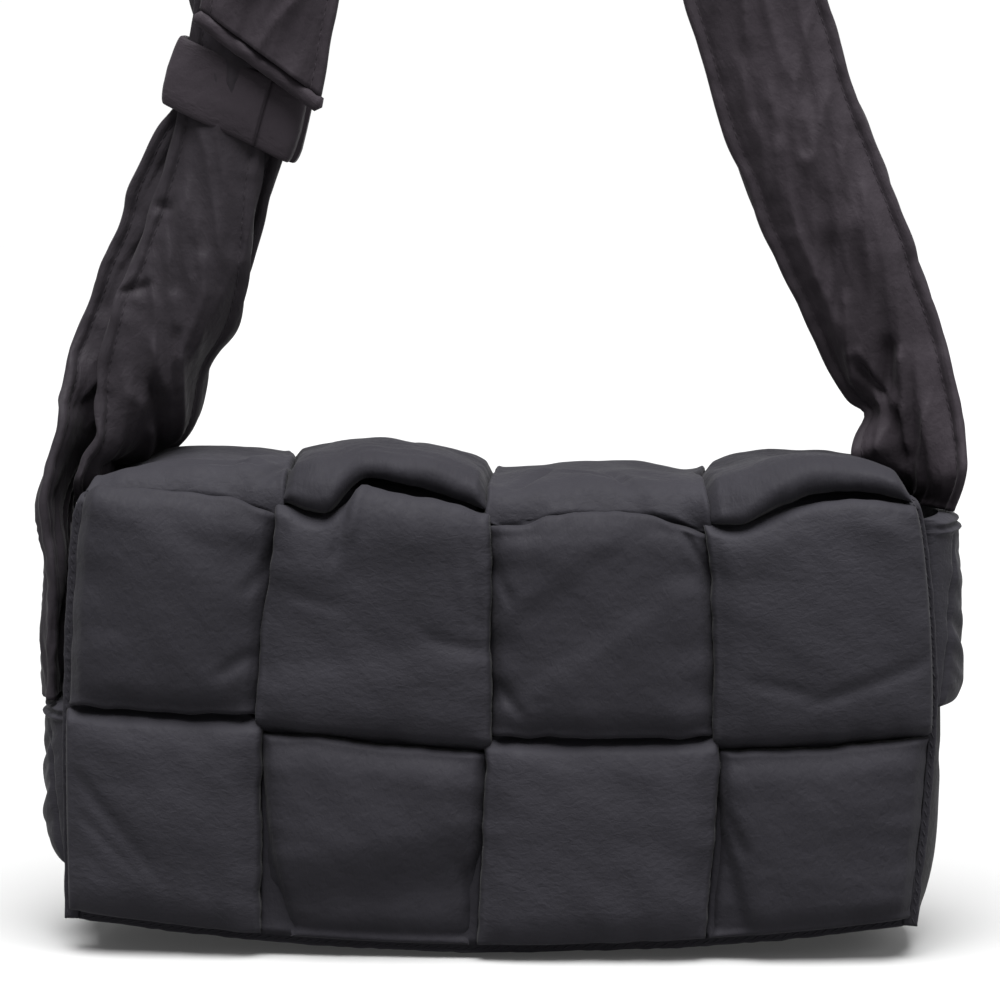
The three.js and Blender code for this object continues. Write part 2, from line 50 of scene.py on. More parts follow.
# The woven cover: the surface between its two plies, with the frame's sizes, but a little wider on the top.
ROW_PITCH = 75.0
TOP_LINE = 2 * ROW_PITCH  # from the hem up to the line between the front and the top
COLUMN_EDGES = np.array([-1.0, -0.543, -0.018, 0.498, 1.0])  # shares of the half width
COVER_HALF_WIDTH = 145.0
COVER_HALF_DEPTH = 33.0
HEM_HEIGHT = 2.0
SHOULDER_HEIGHT = 147.5  # where the front starts to turn over the top
CORNER_RADIUS = 16.0
CORNER_TURN = math.radians(76)
FRONT_BULGE = 5.0
END_LIFT = 10.0  # how far the rows rise at the ends of the bag
TOP_DROOP = 12.0  # and how far the top falls there
DROOP_FROM = 130.5  # this far from a hem the droop sets in
BORDER = 5.0  # breadth of the sewn border
COVER_WIDTHS = Named(
    along=(0, 77, 145.5, 189.5),
    half=(146, 149, 143.5, 134.5),
    shift=(-3, 0, -0.5, -1),
)
ROW_DRIFT = Named(across=(-1, -0.5, 0, 0.5, 1), drift=(-3.5, 0.5, -2.5, -4.5, -7))
ROW_NAMES = ("front_lower", "front_upper", "top", "back_upper", "back_lower")
TOP_ROW = ROW_NAMES.index("top")

# Small departures of the cloth from that surface: the line between the upper front row and the top
# rides up and down along the bag, the first column's edge leans, and the top sags where columns meet.
TOP_LINE_DRIFT = Named(
    across=(
        -1, -0.8, -0.66, -0.54, -0.4, -0.34, -0.25, -0.14, -0.02,
        0.24, 0.42, 0.5, 0.56, 0.64, 0.75, 0.9, 1,
    ),
    drift=(6.5, 6.5, 5, -0.5, -1.8, 6, 5.6, 4.3, 1, 4.6, 1, -5, -7, -3.5, 0.3, 0, -4),
)
TOP_LINE_REACH = 45.0
COLUMN_LEAN = Named(across=-0.543, spread=0.22, shift=4.5)
TOP_SAG = Named(
    across=(-1, -0.543, -0.28, -0.1, -0.018, 0.1, 0.24, 0.498, 0.75, 1),
    depth=(0, 1, 2, 5.5, 8, 7.5, 7, 7, 3, 0),
)

# Padding of the strips.
PLY_GAP = 0.3
OVER_THICK = 8.8
UNDER_THICK = 4.6
TOP_THICK = (0.78, 0.92, 0.6, 0.9)  # share of the padding on the top, by column
DIVE_START = 1.6  # a strip goes under its neighbour from this far before their line
DIVE_END = 1.0  # to this far past it
DIVE_REACH = 14.0  # a cell fills out over this length from where it dives
TOP_DIVE_REACH = 28.0  # and on the top over this length
DIVE_TAPER = 5.0
TOP_DIVE_TAPER = 14.0
NOSE_AT_DIVE = 0.2
FREE_REACH = 12.0  # it fills out over this length from its free edge
TOP_FREE_REACH = 30.0  # an upright cell on the top fills out over this length
FILL_POWER = 2.3  # a higher power fills out faster
NOSE = 4.2  # thickness of the folded free edge
NOSE_ROUND = 1.9
SIDE_NOSE = 0.3  # share of that thickness where a crossing strip is sewn into the side border
UPRIGHT_LAP = 1.3  # an upright strip's free edge laps this far over the line
CROSSING_RETREAT = 2.5  # a crossing strip's free edge stays this far inside its lines
FREE_LIFT = 0.9  # a free edge stands this far off the cloth below
FREE_LIFT_REACH = 4.0
TUCK = 4.0  # a hidden strip is this much narrower
CROWN = 0.2  # how much fuller a cell is in its middle
CROWN_REACH = 30.0
HEM_INSET = 3.2  # the padding runs down to this far from the lower hems
UPRIGHT_INSET = 2.0  # an upright strip runs to this far from the side edges
CROSSING_INSET = 3.0  # and a crossing strip to this far
HIDDEN_INSET = 5.6  # a hidden strip stops short of the sewn border
ROLLS = (
    Named(x=-40.0, spread=30.0, lift=4.5),
    Named(x=112.0, spread=30.0, lift=4.2),
)  # where the free front edge of the top strip rolls up and stands off
ROLL_FROM = -0.2  # where a roll sets in, if the strip's middle is 0 and its front edge 1
ROLL_NOSE = 0.9  # how much thicker that edge is for each millimetre of lift
ROLL_ROUND = 0.8  # and how much rounder

# Random numbers: where they start, and where each piece's own seeds start.
SEED = 20
SEEDS = {
    "upright_strip": 0,
    "crossing_strip": 100,
    "side_border": 300,
    "hem": 310,
    "pouch": 330,
    "gusset_panel": 340,
    "gusset_band": 350,
    "shoulder_strap": 360,
    "strap_loop": 370,
    "strap_end_hem": 390,
    "strap_keeper": 395,
}
NEXT_STRIP_SEED = 10
BACK_FACE_SEED = 3
LATTICE = 64  # noise repeats after this many bumps
NOISE_GAIN = 1.6  # brings noise to about -1 to 1
BETWEEN_LINES = 0.5  # noise along a single line is read midway between two lattice lines
CREST_POWER = 3

# A kind of relief: its height, the size of a bump along and across the piece, a seed of its own, and for
# some how far it is slanted or pushed over, and how far it reaches from an edge.
Relief = namedtuple("Relief", "height along across seed slant shear reach", defaults=(0, 0, 0))

# Relief of the strips.
LUMPS = Relief(0.5, 30, 26, seed=1)
SLANTED_FOLDS = Relief(0.45, 14, 34, slant=0.7, seed=2)
END_PUCKERS = Relief(1.4, 30, 8, reach=9.0, seed=3)
EDGE_PUCKERS = Relief(0.6, 8, 30, reach=7.0, seed=4)
EDGE_WOBBLE = Relief(0.9, 24, 9, seed=5)
EDGE_NIBBLE = Relief(0.6, 7, 9, seed=6)
ROLL_LINES = Relief(0.28, 70, 2.6, seed=7)
TOP_RELIEF = 2.4  # lumps and folds are this much higher on the top
RELIEF_FADE = 4.0  # relief dies out this close to a free edge

# Single creases, from one place on the cover to another: a valley along the line, and for some how far
# the cloth falls away to the right of someone walking along it.
Crease = namedtuple("Crease", "x0 along0 x1 along1 valley width drop", defaults=(0,))
CREASES = {
    "upright_strip_2": (
        (-52, 158, -56, 134, 2.0, 2.0),
        (-46, 156, -51, 138, -1.6, 2.6),
        (-10, 138, -4, 106, 1.2, 2.4, 1.6),
        (-24, 110, -2, 106, 1.2, 2.0),
        (-70, 122, -52, 118, 0.8, 2.0),
    ),
    "upright_strip_4": (
        (78, 152, 92, 158, 1.4, 2.0),
        (104, 88, 142, 98, 1.2, 2.2),
        (82, 96, 104, 90, 0.9, 2.0),
    ),
    "crossing_strip_front_upper": (
        (-74, 142, -86, 120, 1.8, 2.4, 1.4),
        (-82, 100, -92, 92, 1.2, 2.2),
        (60, 150, 71, 132, 1.8, 2.2, 1.2),
        (-2, 136, 5, 122, 1.6, 2.0),
        (0, 96, 8, 86, 1.4, 2.0),
    ),
    "crossing_strip_front_lower": (
        (-77, 68, -64, 4, 0.6, 1.6, 6.0),
        (74, 62, 91, 4, 0.8, 1.6, 5.4),
        (74, 54, 84, 34, 1.6, 1.8),
        (-9, 30, -4, 10, 1.4, 2.0),
    ),
    "upright_strip_1": (
        (-138, 54, -112, 22, 1.0, 2.4),
        (-137, 40, -118, 22, 0.9, 2.2),
        (-86, 156, -72, 180, 2.2, 2.4),
        (-94, 158, -86, 178, -1.6, 2.8),
        (-116, 160, -88, 164, 1.8, 2.0),
    ),
    "upright_strip_3": (
        (6, 160, 20, 176, 1.8, 2.2),
        (46, 156, 40, 174, 2.0, 2.0),
        (24, 170, 46, 162, 1.6, 2.2),
    ),
}
CREASE_END = 0.2  # share of a crease's length over which each end fades
DROP_REACH = 3  # the cloth has fallen away at this many widths from the line

# The sewn border round the cover: two thin ridges and a line of slanted stitches.
BORDER_HALF = 1.9  # half its thickness
BORDER_BLUNT = 0.6
BORDER_SIDES = 30
SIDE_BORDER_DROP = 1.8  # how far a side border lies under the middle surface
HEM_DROP = 2.3
BORDER_GROOVES = (
    Named(at=0.35, depth=0.7, width=0.3),
    Named(at=-0.45, depth=0.7, width=0.35),
)  # shares of the half width, outwards
BORDER_WAVE = Relief(0.35, 22, 1, seed=0)
BORDER_PUCKER = Relief(0.25, 4, 1, seed=1)
STITCH_PITCH = 3.4
STITCH_LENGTH = 2.5
STITCH_RADIUS = 0.24
STITCH_SLANT = math.radians(24)
STITCH_REACH = np.array([-0.5, -0.36, 0, 0.36, 0.5])  # shares of a stitch's length
STITCH_GIRTH = np.array([0.35, 0.9, 1.1, 0.9, 0.35])  # and of its radius there
STITCH_SIDES = 6

# The pouch, with the frame's sizes, but a base that curves up to its ends.
SEAM_GAP = 0.4
WALL = 3.0
POUCH_HALF_WIDTH = 138.0
POUCH_HALF_DEPTH = 27.1
POUCH_FRONT_TOP = 126.5
POUCH_BACK_TOP = 142.5
POUCH_GIRTH = 320.0  # round its front, base and back
POUCH_STEPS = Named(wall=40, corner=8, base=26)
POUCH_WRINKLES = Relief(0.5, 24, 16, seed=0)
POUCH_WRINKLE_RISE = (3, 20)  # wrinkles set in between these heights
BASE_RADIUS = 10.0
BASE_END_RISE = 9.0

# The gussets and the bands across them. The right band's hem stands a little higher than the frame's.
GUSSET_CORNER = Named(cut=6.0, power=4)  # a panel's lower corners are cut off
GUSSET_HALF_DEPTH = 29.0
GUSSET_WALL = 3.5
GUSSET_BOW = Named(height=(9, 28, 55, 84, 116, 145.5), bow=(3, 8, 10, 10, 9, 8))
GUSSET_WRINKLES = Relief(0.7, 14, 40, shear=0.6, seed=0)
BAND_HALF_DEPTH = 28.0
BAND_PUFF = 7.5
BAND_EDGE = 4.0
BAND_ROUND = 11.0
BAND_HEMS = Named(from_top=(1.8, 4.8), height=1.3, width=0.8)
BAND_CREASES = Relief(1.6, 7, 30, slant=0.7, seed=0)
BAND_LUMPS = Relief(0.9, 20, 24, seed=2)
BAND_FOLD = Named(bottom=-25.0, top=-17.0, depth=2.4, width=0.9)  # an upright fold near the front
GUSSET_BANDS = (
    Named(name="gusset_band_right", side=1, bottom=85.5, top=150.4),
    Named(name="gusset_band_left", side=-1, bottom=28.5, top=84.5),
)

# The straps, as the frame has them: a row for each section.
Section = namedtuple("Section", "x y z turn width thick skew", defaults=(0,))
SHOULDER_STRAP = (
    (150.5, 0, 148.3, -24, 38, 7),
    (150.9, 0, 156.5, -27, 38, 7),
    (147, 0.5, 167.5, -44, 38, 7),
    (140.8, 2, 184.5, -60, 38, 7.5),
    (133, 2, 202.5, -75, 42, 8),
    (124.5, 0, 222.5, -85, 44, 8),
    (116, -2, 243.5, -90, 46, 8),
    (99, -3, 285.5, -90, 47, 8),
    (86.5, -3, 325.5, -90, 47, 8),
    (78.5, -2, 356.5, -82, 47, 8),
    (71, -1, 389.5, -62, 47, 8),
    (63, 0, 420.5, -40, 47, 8),
    (51, 0, 447.5, -20, 47, 8),
    (31, 0, 468.5, -6, 47, 8),
    (5, 0, 476.5, 0, 47, 8),
    (-21, -1, 469, 6, 47, 8),
    (-41, -2.5, 449.5, 20, 47, 8),
    (-53.5, -5, 422.5, 40, 47, 8),
    (-61.5, -8.5, 393.5, 62, 47, 8),
    (-68.5, -11.5, 365.5, 82, 46, 7.5),
    (-74, -13.2, 342.5, 90, 46, 7, 0.15),
    (-78.5, -14, 322.5, 90, 46, 6.5, 0.36),
    (-81.5, -14, 307, 90, 46, 6, 0.47),
)
STRAP_LOOP = (
    (-147.2, 0, 146.1, 0, 34, 6),
    (-146, 0, 155, 4, 34, 6),
    (-139.5, 0, 165.5, 20, 34, 6),
    (-130, -1, 174.5, 42, 35, 6.5),
    (-124, -2.5, 185, 62, 38, 7),
    (-118.5, -4.5, 202.5, 75, 41, 7),
    (-110, -6, 222.5, 86, 42, 7),
    (-104.5, -5.6, 242.5, 90, 38, 7),
    (-99.5, -4.8, 266.5, 90, 33, 5.6),
    (-91.5, -4.6, 302.5, 90, 33, 5.6),
    (-84, -4.6, 338.5, 90, 37, 5.6),
    (-82, -2.8, 347.5, 90, 39, 4.6),
    (-81.6, 0.3, 349.9, 90, 40, 4.6),
    (-82, 3.4, 347.5, 90, 42, 4.6),
    (-84.5, 5.2, 338.5, 90, 45, 5.6),
    (-88.4, 5.2, 302.5, 90, 38, 5.6),
    (-93.6, 5.3, 284, 90, 40, 5.8),
    (-102, 5.6, 266.5, 90, 47, 6),
    (-109, 6.6, 245.5, 90, 48, 6.5),
    (-115.5, 7.5, 228.5, 88, 48, 6.5),
    (-123, 8.5, 211.5, 82, 48, 6.5),
    (-131.5, 8.5, 194.5, 70, 47, 6.5),
    (-143, 7, 178.5, 36, 46, 6),
    (-152, 3.5, 164.5, 10, 45, 5.6),
    (-154.8, 1, 151.5, 5, 44, 5.2),
    (-154.6, 0, 136.5, 0, 44, 5.2),
    (-154.8, 0, 85.5, 0, 44, 5),
)
STRAP_SEAM = 4.0  # the seam lies this far inside each edge
STRAP_SEAM_WIDTH = 1.1
STRAP_SEAM_DEPTH = 0.7
STRAP_BODY_START = 0.5  # the padding starts this far outside the seam
STRAP_BODY_REACH = 8.0  # and fills out over this length inside it
STRAP_FLANGE = 1.7  # half thickness outside the seam
STRAP_EDGE_ROUND = 1.8

# Relief of the straps. Pleats stand on the face that shows.
STRAP_SCALLOP = Relief(1, 15, 1, seed=0)
SCALLOP_HEIGHT = {"shoulder_strap": 0.9, "strap_loop": 1.6}
SCALLOP_FROM = 0.55  # share of the half width from which an edge is scalloped
SCALLOP_APART = 300.0  # keeps the two edges' scallops unlike each other
STRAP_PUCKERS = Relief(0.6, 6, 30, reach=6.0, seed=1)
LONG_WRINKLES = Relief(1.0, 55, 7, slant=-0.2, seed=2)
STRAP_FOLDS = Relief(1.2, 62, 10, shear=0.8, seed=7)
STRAP_LUMPS = Relief(0.9, 26, 22, seed=8)
STRAP_PLEATS = Relief(2.4, 50, 11, slant=-0.3, seed=9)
PLEAT_FACING = {"shoulder_strap": 1, "strap_loop": -1}

# The lower end of each strap is gathered: where it starts, and its shares of the width and thickness.
FEET = {
    "shoulder_strap": Named(start=3.0, width=0.74, thick=0.8, reach=12.0),
    "strap_loop": Named(start=0.0, width=0.4, thick=0.75, reach=16.0),
}

# Single folds of the straps, from one place to another: millimetres along the strap and shares of its
# half width, and how far the fold stands up towards the strap's face.
FOLD_CREST = 0.6  # radius of a fold's crest
Fold = namedtuple("Fold", "along0 across0 along1 across1 height width")
FOLDS = {
    "shoulder_strap": (
        (190, -0.1, 160, -0.1, 2.1, 2.5),
        (176, 0.35, 150, 0.5, -2.2, 2.5),
        (150, -0.2, 120, 0.0, 2, 2.7),
        (142, 0.3, 124, 0.75, 2.2, 2.2),
        (134, 0, 118, 0.2, 2, 2),
        (118, 0.18, 104, 0.38, 1.8, 2.2),
        (104, 0.38, 92, 0.58, 1.8, 2.2),
        (112, 0.6, 98, 0.78, 1.5, 1.9),
        (110, -0.25, 85, 0.23, 2.5, 2.7),
        (85, 0.23, 67, 0.5, 3.4, 2.4),
        (67, 0.5, 54, 0.68, 3, 2.2),
        (106, 0.14, 80, 0.46, -3, 2.9),
        (62, 0.45, 46, 0.23, -4.5, 1.9),
        (64, 0.32, 46, 0.18, 2.4, 1.4),
        (64, -0.15, 48, 0.15, -3.6, 2.4),
        (60, -0.32, 44, 0.1, 2.7, 1.9),
        (44, 0.1, 28, 0.55, 2.7, 1.7),
        (40, 0.1, 22, 0.32, -3.3, 1.9),
        (42, -0.02, 26, 0.14, 2.2, 1.5),
        (40, -0.4, 10, -0.3, 1.5, 2),
    ),
    "strap_loop": (
        (138, 0.77, 112, 0.82, -1.4, 1.2),
        (117, -1.0, 117, -0.6, 2.1, 1.4),
        (104, 0.16, 91, 0.35, -1.8, 2.5),
        (89, -0.12, 78, 0.08, -2, 1.5),
        (81, -0.95, 90, -0.55, 2.2, 1.5),
        (92, 0.34, 71, 0.27, -2.4, 2.2),
        (71, 0.27, 58, 0.43, -3, 2),
        (58, 0.43, 42, 0.75, -3, 2),
        (72, -0.3, 54, 0.24, -2.2, 1.5),
        (58, -0.12, 36, 0.65, 3.3, 2.7),
        (42, 0.2, 32, 0.6, -2, 1.4),
        (22, -0.4, 26, 0.8, 2.7, 2.5),
    ),
}

# Places where an edge of a strap is drawn out, or down along the strap.
Pull = namedtuple("Pull", "along side out down spread")
PULLS = {
    "shoulder_strap": (
        (43, 1, -4, 0, 4),
    ),
    "strap_loop": (
        (36, 1, 7.7, 6.7, 16),
        (21, 1, 5, 3, 9),
    ),
}
PULL_FROM = 0.1  # share of the half width from which the cloth follows
LOBE = Named(start=12.0, peak=29.0, end=46.0, reach=15.0)  # the shoulder strap's foot bulges forward
LOOP_RIDGE = Named(
    along=(0, 48, 66, 88, 110, 130),
    across=(0.5, 0.5, 0.45, 0.57, 0.9, 1.0),
    depth=(0, 9, 12, 10, 4, 0),
)  # the loop's front leg folds back along a ridge that wanders in from its right edge
LOOP_RIDGE_END = 1.1  # the depth is reached at this share of the half width

# The keeper round the loop: a blunt oblong band with a lapped seam and a groove beside it.
KEEPER = Named(width=44.5, depth=16.4, length=24.0, wall=2.5, tilt=math.radians(16))
KEEPER_SLANT = -0.167  # its edges fall this far for each millimetre to the right
KEEPER_AT = np.array([-91.0, 0.5, 291.5])
KEEPER_SQUARENESS = 8
KEEPER_BLUNT = Named(along=0.35, through=0.7)
KEEPER_PAD = 0.8
KEEPER_WAVE = Relief(0.5, 18, 14, seed=0)
KEEPER_SWAY = Relief(0.6, 20, 1, seed=1)
KEEPER_LAP = Named(height=1.2, at=10.5, reach=0.5)
KEEPER_GROOVE = Named(depth=1.5, width=0.35)

# The rolled hem on the strap's free end.
ROLLED_HEM_RADIUS = 2.7
ROLLED_HEM_PAST = (1.5, 1.0)  # how far it reaches past each edge of the strap
ROLLED_HEM_END = 1.6  # its ends are rounded over this length
ROLLED_HEM_KNOTS = Relief(0.16, 5, 1, seed=0)  # shares of the radius, radians round it
HEM_GAP = 0.15

# Grids
STRIDE_STEP = 1.25
TOP_SIDES = 60
BOTTOM_SIDES = 14
CLUSTER = 0.55  # how much closer together the places lie near the ends
NEARBY = 0.5  # slopes are read over this distance
PANEL_STEP = 2.0
PANEL_ROWS = 70
PANEL_COLUMNS = 30
BAND_ROWS = 90
BAND_COLUMNS = 60
STRAP_STEP = 1.5
STRAP_SIDES = 64
KEEPER_STEPS = 360
KEEPER_SIDES = 40
ROLLED_HEM_STEPS = 40
ROLLED_HEM_SIDES = 18

# Fine relief of the cloth, as noise for each metre, and how far it stands up in metres.
CRINKLE = {"scale": 620, "detail": 4, "distortion": 0.6, "strength": 0.28, "distance": 0.001}
CRINKLE_GLOSS = 0.06  # crinkles change the roughness by this much
THREADS = {"scale": 1800, "detail": 2, "distortion": 0, "strength": 0.25, "distance": 0.0002}
RUMPLE = {"scale": 170, "detail": 5, "distortion": 0, "strength": 0.26, "distance": 0.002}
PATCHES = {"scale": 28, "detail": 3, "distortion": 0}
NOISE_SPAN = (0.3, 0.7)  # most of a noise texture lies between these values
EVEN = (1, 1, 1)
ACROSS = (1, 0.6, 1)  # crinkles run across a strip
LENGTHWISE = (0.4, 1, 1)  # or along it
SURFACE = {"Sheen Weight": 0.02, "Sheen Roughness": 0.4, "Specular IOR Level": 0.04}

# The cloths: the colours of their patches, their roughness and the stretch of their crinkles. The upright
# and loop nylons are copies of one nylon, made lighter for painted light and darker for painted shade.
CLOTHS = {
    # painted light: the uprights' nylon is the crossing strips' nylon made about a tenth lighter, for the
    # sheen on the top and the light on the gusset bands
    "upright_nylon": ((0.0125, 0.012, 0.0145), (0.0149, 0.0143, 0.0173), 0.66, ACROSS),
    "crossing_nylon": ((0.0113, 0.0108, 0.0131), (0.0134, 0.0128, 0.0155), 0.66, ACROSS),
    "strap_nylon": ((0.0162, 0.0136, 0.0162), (0.0192, 0.0161, 0.0192), 0.58, LENGTHWISE),
    # painted shade: the loop's nylon is the shoulder strap's nylon made about a quarter darker, for the
    # shadow its legs lie in
    "loop_nylon_painted_shade": ((0.0122, 0.0106, 0.0126), (0.0146, 0.0127, 0.0151), 0.58, LENGTHWISE),
    "body_nylon": ((0.0085, 0.008, 0.0094), (0.011, 0.0104, 0.012), 0.68, ACROSS),
}

# Floor, light and camera, in metres.
WHITE = (1, 1, 1, 1)
FLOOR_SIZE = 12
FLOOR = {
    "Base Color": (0.21, 0.21, 0.21, 1),
    "Emission Color": WHITE,
    "Emission Strength": 0.04,
    "Roughness": 0.9,
}
LAMPS = (
    ("overhead_light", 14.0, math.radians(45), Vector((0, -0.33, 1.0))),
    ("right_light", 1.2, math.radians(30), Vector((1.0, -0.35, 0.6))),
)  # their names, strengths and softness, and where their light comes from
SURROUND = Named(front=0.45, back=1.03)  # a white wall behind the bag, a dimmer room in front
SURROUND_TURN = Named(front=0.75, back=0.96)  # between these directions, as shares of straight back
CAMERA_TARGET = Vector((0.001, -0.04, 0.1575))
CAMERA_DISTANCE = 1.3
CAMERA_AZIMUTH = math.radians(2.5)
CAMERA_ELEVATION = math.radians(6)
CAMERA_VIEW_WIDTH = 0.336  # at the target


# Curves and noise

def smooth(x, low, high):
    """A smooth step from 0 at low to 1 at high."""
    share = np.clip((x - low) / (high - low), 0, 1)
    return share * share * (3 - 2 * share)


def near(x, middle, width):
    """1 at the middle, falling to nothing within about two widths."""
    return np.exp(-(((x - middle) / width) ** 2))


def through(places, values, x):
    """A smooth curve through the points of a short table, read at x."""
    places, values = np.asarray(places, float), np.asarray(values, float)
    slopes = np.gradient(values, places)
    x = np.clip(x, places[0], places[-1])
    i = np.clip(np.searchsorted(places, x, side="right") - 1, 0, len(places) - 2)
    width = places[i + 1] - places[i]
    t = (x - places[i]) / width
    rise = values[i + 1] - values[i]
    start, end = slopes[i] * width, slopes[i + 1] * width
    return values[i] + t * start + t * t * (3 * rise - 2 * start - end) + t**3 * (start + end - 2 * rise)


def ellipse(share):
    """Height of a quarter ellipse at a share of its length from its foot."""
    return np.sqrt(1 - (1 - np.clip(share, 0, 1)) ** 2)


def blunt(wave, power):
    """A wave from -1 to 1 made blunter by a power below 1."""
    return np.sign(wave) * np.abs(wave) ** power


def fill_out(share):
    """How padding fills out from a pressed edge: steep at first, then level."""
    return 1 - (1 - np.clip(share, 0, 1)) ** FILL_POWER


def clustered(low, high, count):
    """Places from low to high, closer together near both ends."""
    t = np.linspace(0, 1, count)
    return low + (high - low) * (t - CLUSTER * np.sin(2 * math.pi * t) / (2 * math.pi))


def full_turn(count):
    return np.linspace(0, 2 * math.pi, count, endpoint=False)


def grid(*values):
    """Values that belong together, stacked at each place of a grid."""
    return np.stack(np.broadcast_arrays(*values), axis=-1)


def unit(vectors):
    return vectors / np.linalg.norm(vectors, axis=-1, keepdims=True)


def lengths_along(points):
    """The distance walked along a path at each of its points."""
    return np.linalg.norm(np.diff(points, axis=0, prepend=points[:1]), axis=1).cumsum()


def ripple(u, v, size, seed):
    """Smooth random relief, about -1 to 1, in bumps of the given sizes along u and v."""
    angles = np.random.default_rng(SEED + seed).uniform(0, 2 * math.pi, (LATTICE, LATTICE))
    x, y = np.broadcast_arrays(u / size[0], v / size[1])
    column, row = np.floor(x).astype(int), np.floor(y).astype(int)
    x, y = x - column, y - row

    def corner(right, up):
        angle = angles[(column + right) % LATTICE, (row + up) % LATTICE]
        return np.cos(angle) * (x - right) + np.sin(angle) * (y - up)

    across, upward = smooth(x, 0, 1), smooth(y, 0, 1)
    lower = corner(0, 0) * (1 - across) + corner(1, 0) * across
    upper = corner(0, 1) * (1 - across) + corner(1, 1) * across
    return NOISE_GAIN * (lower * (1 - upward) + upper * upward)


def kind_noise(kind, along, across, seed):
    """Noise of a named kind, turned by its slant or pushed over by its shear."""
    u = along + (kind.slant + kind.shear) * across
    v = across - kind.slant * along
    return ripple(u, v, (kind.along, kind.across), seed + kind.seed)


def bumps(kind, along, across, seed):
    """Random relief of a named kind."""
    return kind.height * kind_noise(kind, along, across, seed)


def crests(kind, along, across, seed):
    """Random relief of a named kind, with crisp crests between soft hollows."""
    return kind.height * (1 - np.abs(kind_noise(kind, along, across, seed))) ** CREST_POWER


def beside_line(start, end, u, v):
    """A line that fades at its ends, and the distance from it to the right."""
    run_u, run_v = end[0] - start[0], end[1] - start[1]
    on_u, on_v = u - start[0], v - start[1]
    length = np.hypot(run_u, run_v)
    share = (on_u * run_u + on_v * run_v) / length**2
    beside = (on_u * run_v - on_v * run_u) / length
    fade = smooth(share, -CREASE_END, CREASE_END) * (1 - smooth(share, 1 - CREASE_END, 1 + CREASE_END))
    return fade, beside


# Meshes

def tube(points, places, loop=False):
    """Points, quads and texture places of a bar through closed rings, or of a closed hoop of rings."""
    rings, sides = points.shape[:2]
    index = np.arange(rings * sides).reshape(rings, sides)
    if loop:
        index = np.concatenate([index, index[:1]])
        places = np.concatenate([places, places[-1:] * 2 - places[-2:-1]])
    index = np.concatenate([index, index[:, :1]], axis=1)
    corners = [np.s_[:-1, :-1], np.s_[:-1, 1:], np.s_[1:, 1:], np.s_[1:, :-1]]
    faces = np.stack([index[c] for c in corners], axis=-1).reshape(-1, 4)
    uvs = np.stack([places[c] for c in corners], axis=-2).reshape(-1, 2)
    caps = [] if loop else [index[0, :-1][::-1], index[-1, :-1]]
    return outward({"points": points.reshape(-1, 3), "faces": faces, "uvs": uvs, "caps": caps})


def outward(part):
    """The part with its faces turned outwards."""
    a, b, c, d = (part["points"][part["faces"][:, k]] for k in range(4))
    volume = np.sum(a * np.cross(b, c)) + np.sum(a * np.cross(c, d))
    if volume >= 0:
        return part
    order = [0, 3, 2, 1]
    faces = part["faces"][:, order]
    uvs = part["uvs"].reshape(-1, 4, 2)[:, order].reshape(-1, 2)
    return {**part, "faces": faces, "uvs": uvs, "caps": [cap[::-1] for cap in part["caps"]]}


def joined(parts):
    """Several parts as one."""
    starts = np.cumsum([0] + [len(part["points"]) for part in parts])
    return {
        "points": np.concatenate([part["points"] for part in parts]),
        "faces": np.concatenate([part["faces"] + start for part, start in zip(parts, starts)]),
        "uvs": np.concatenate([part["uvs"] for part in parts]),
        "caps": [cap + start for part, start in zip(parts, starts) for cap in part["caps"]],
    }


def add_piece(name, replaced, part, cloth):
    """A mesh piece that rides on the bag and takes the place of a node."""
    mesh = bpy.data.meshes.new(name)
    faces = part["faces"].tolist() + [cap.tolist() for cap in part["caps"]]
    mesh.from_pydata((part["points"] * MM).tolist(), [], faces)
    cap_uvs = np.zeros((sum(len(cap) for cap in part["caps"]), 2))
    uv_layer = mesh.uv_layers.new(name="cloth")
    uv_layer.data.foreach_set("uv", np.concatenate([part["uvs"], cap_uvs]).ravel() * MM)
    mesh.polygons.foreach_set("use_smooth", np.ones(len(faces), bool))
    mesh.materials.append(materials[cloth])
    piece = bpy.data.objects.new(name, mesh)
    bpy.context.scene.collection.objects.link(piece)
    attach(piece, "root")
    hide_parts(replaced)


# Materials

def node(tree, kind, inputs):
    """A new shader node, with its inputs linked or set."""
    made = tree.nodes.new(kind)
    for name, value in inputs.items():
        if isinstance(value, bpy.types.NodeSocket):
            tree.links.new(value, made.inputs[name])
        else:
            made.inputs[name].default_value = value
    return made


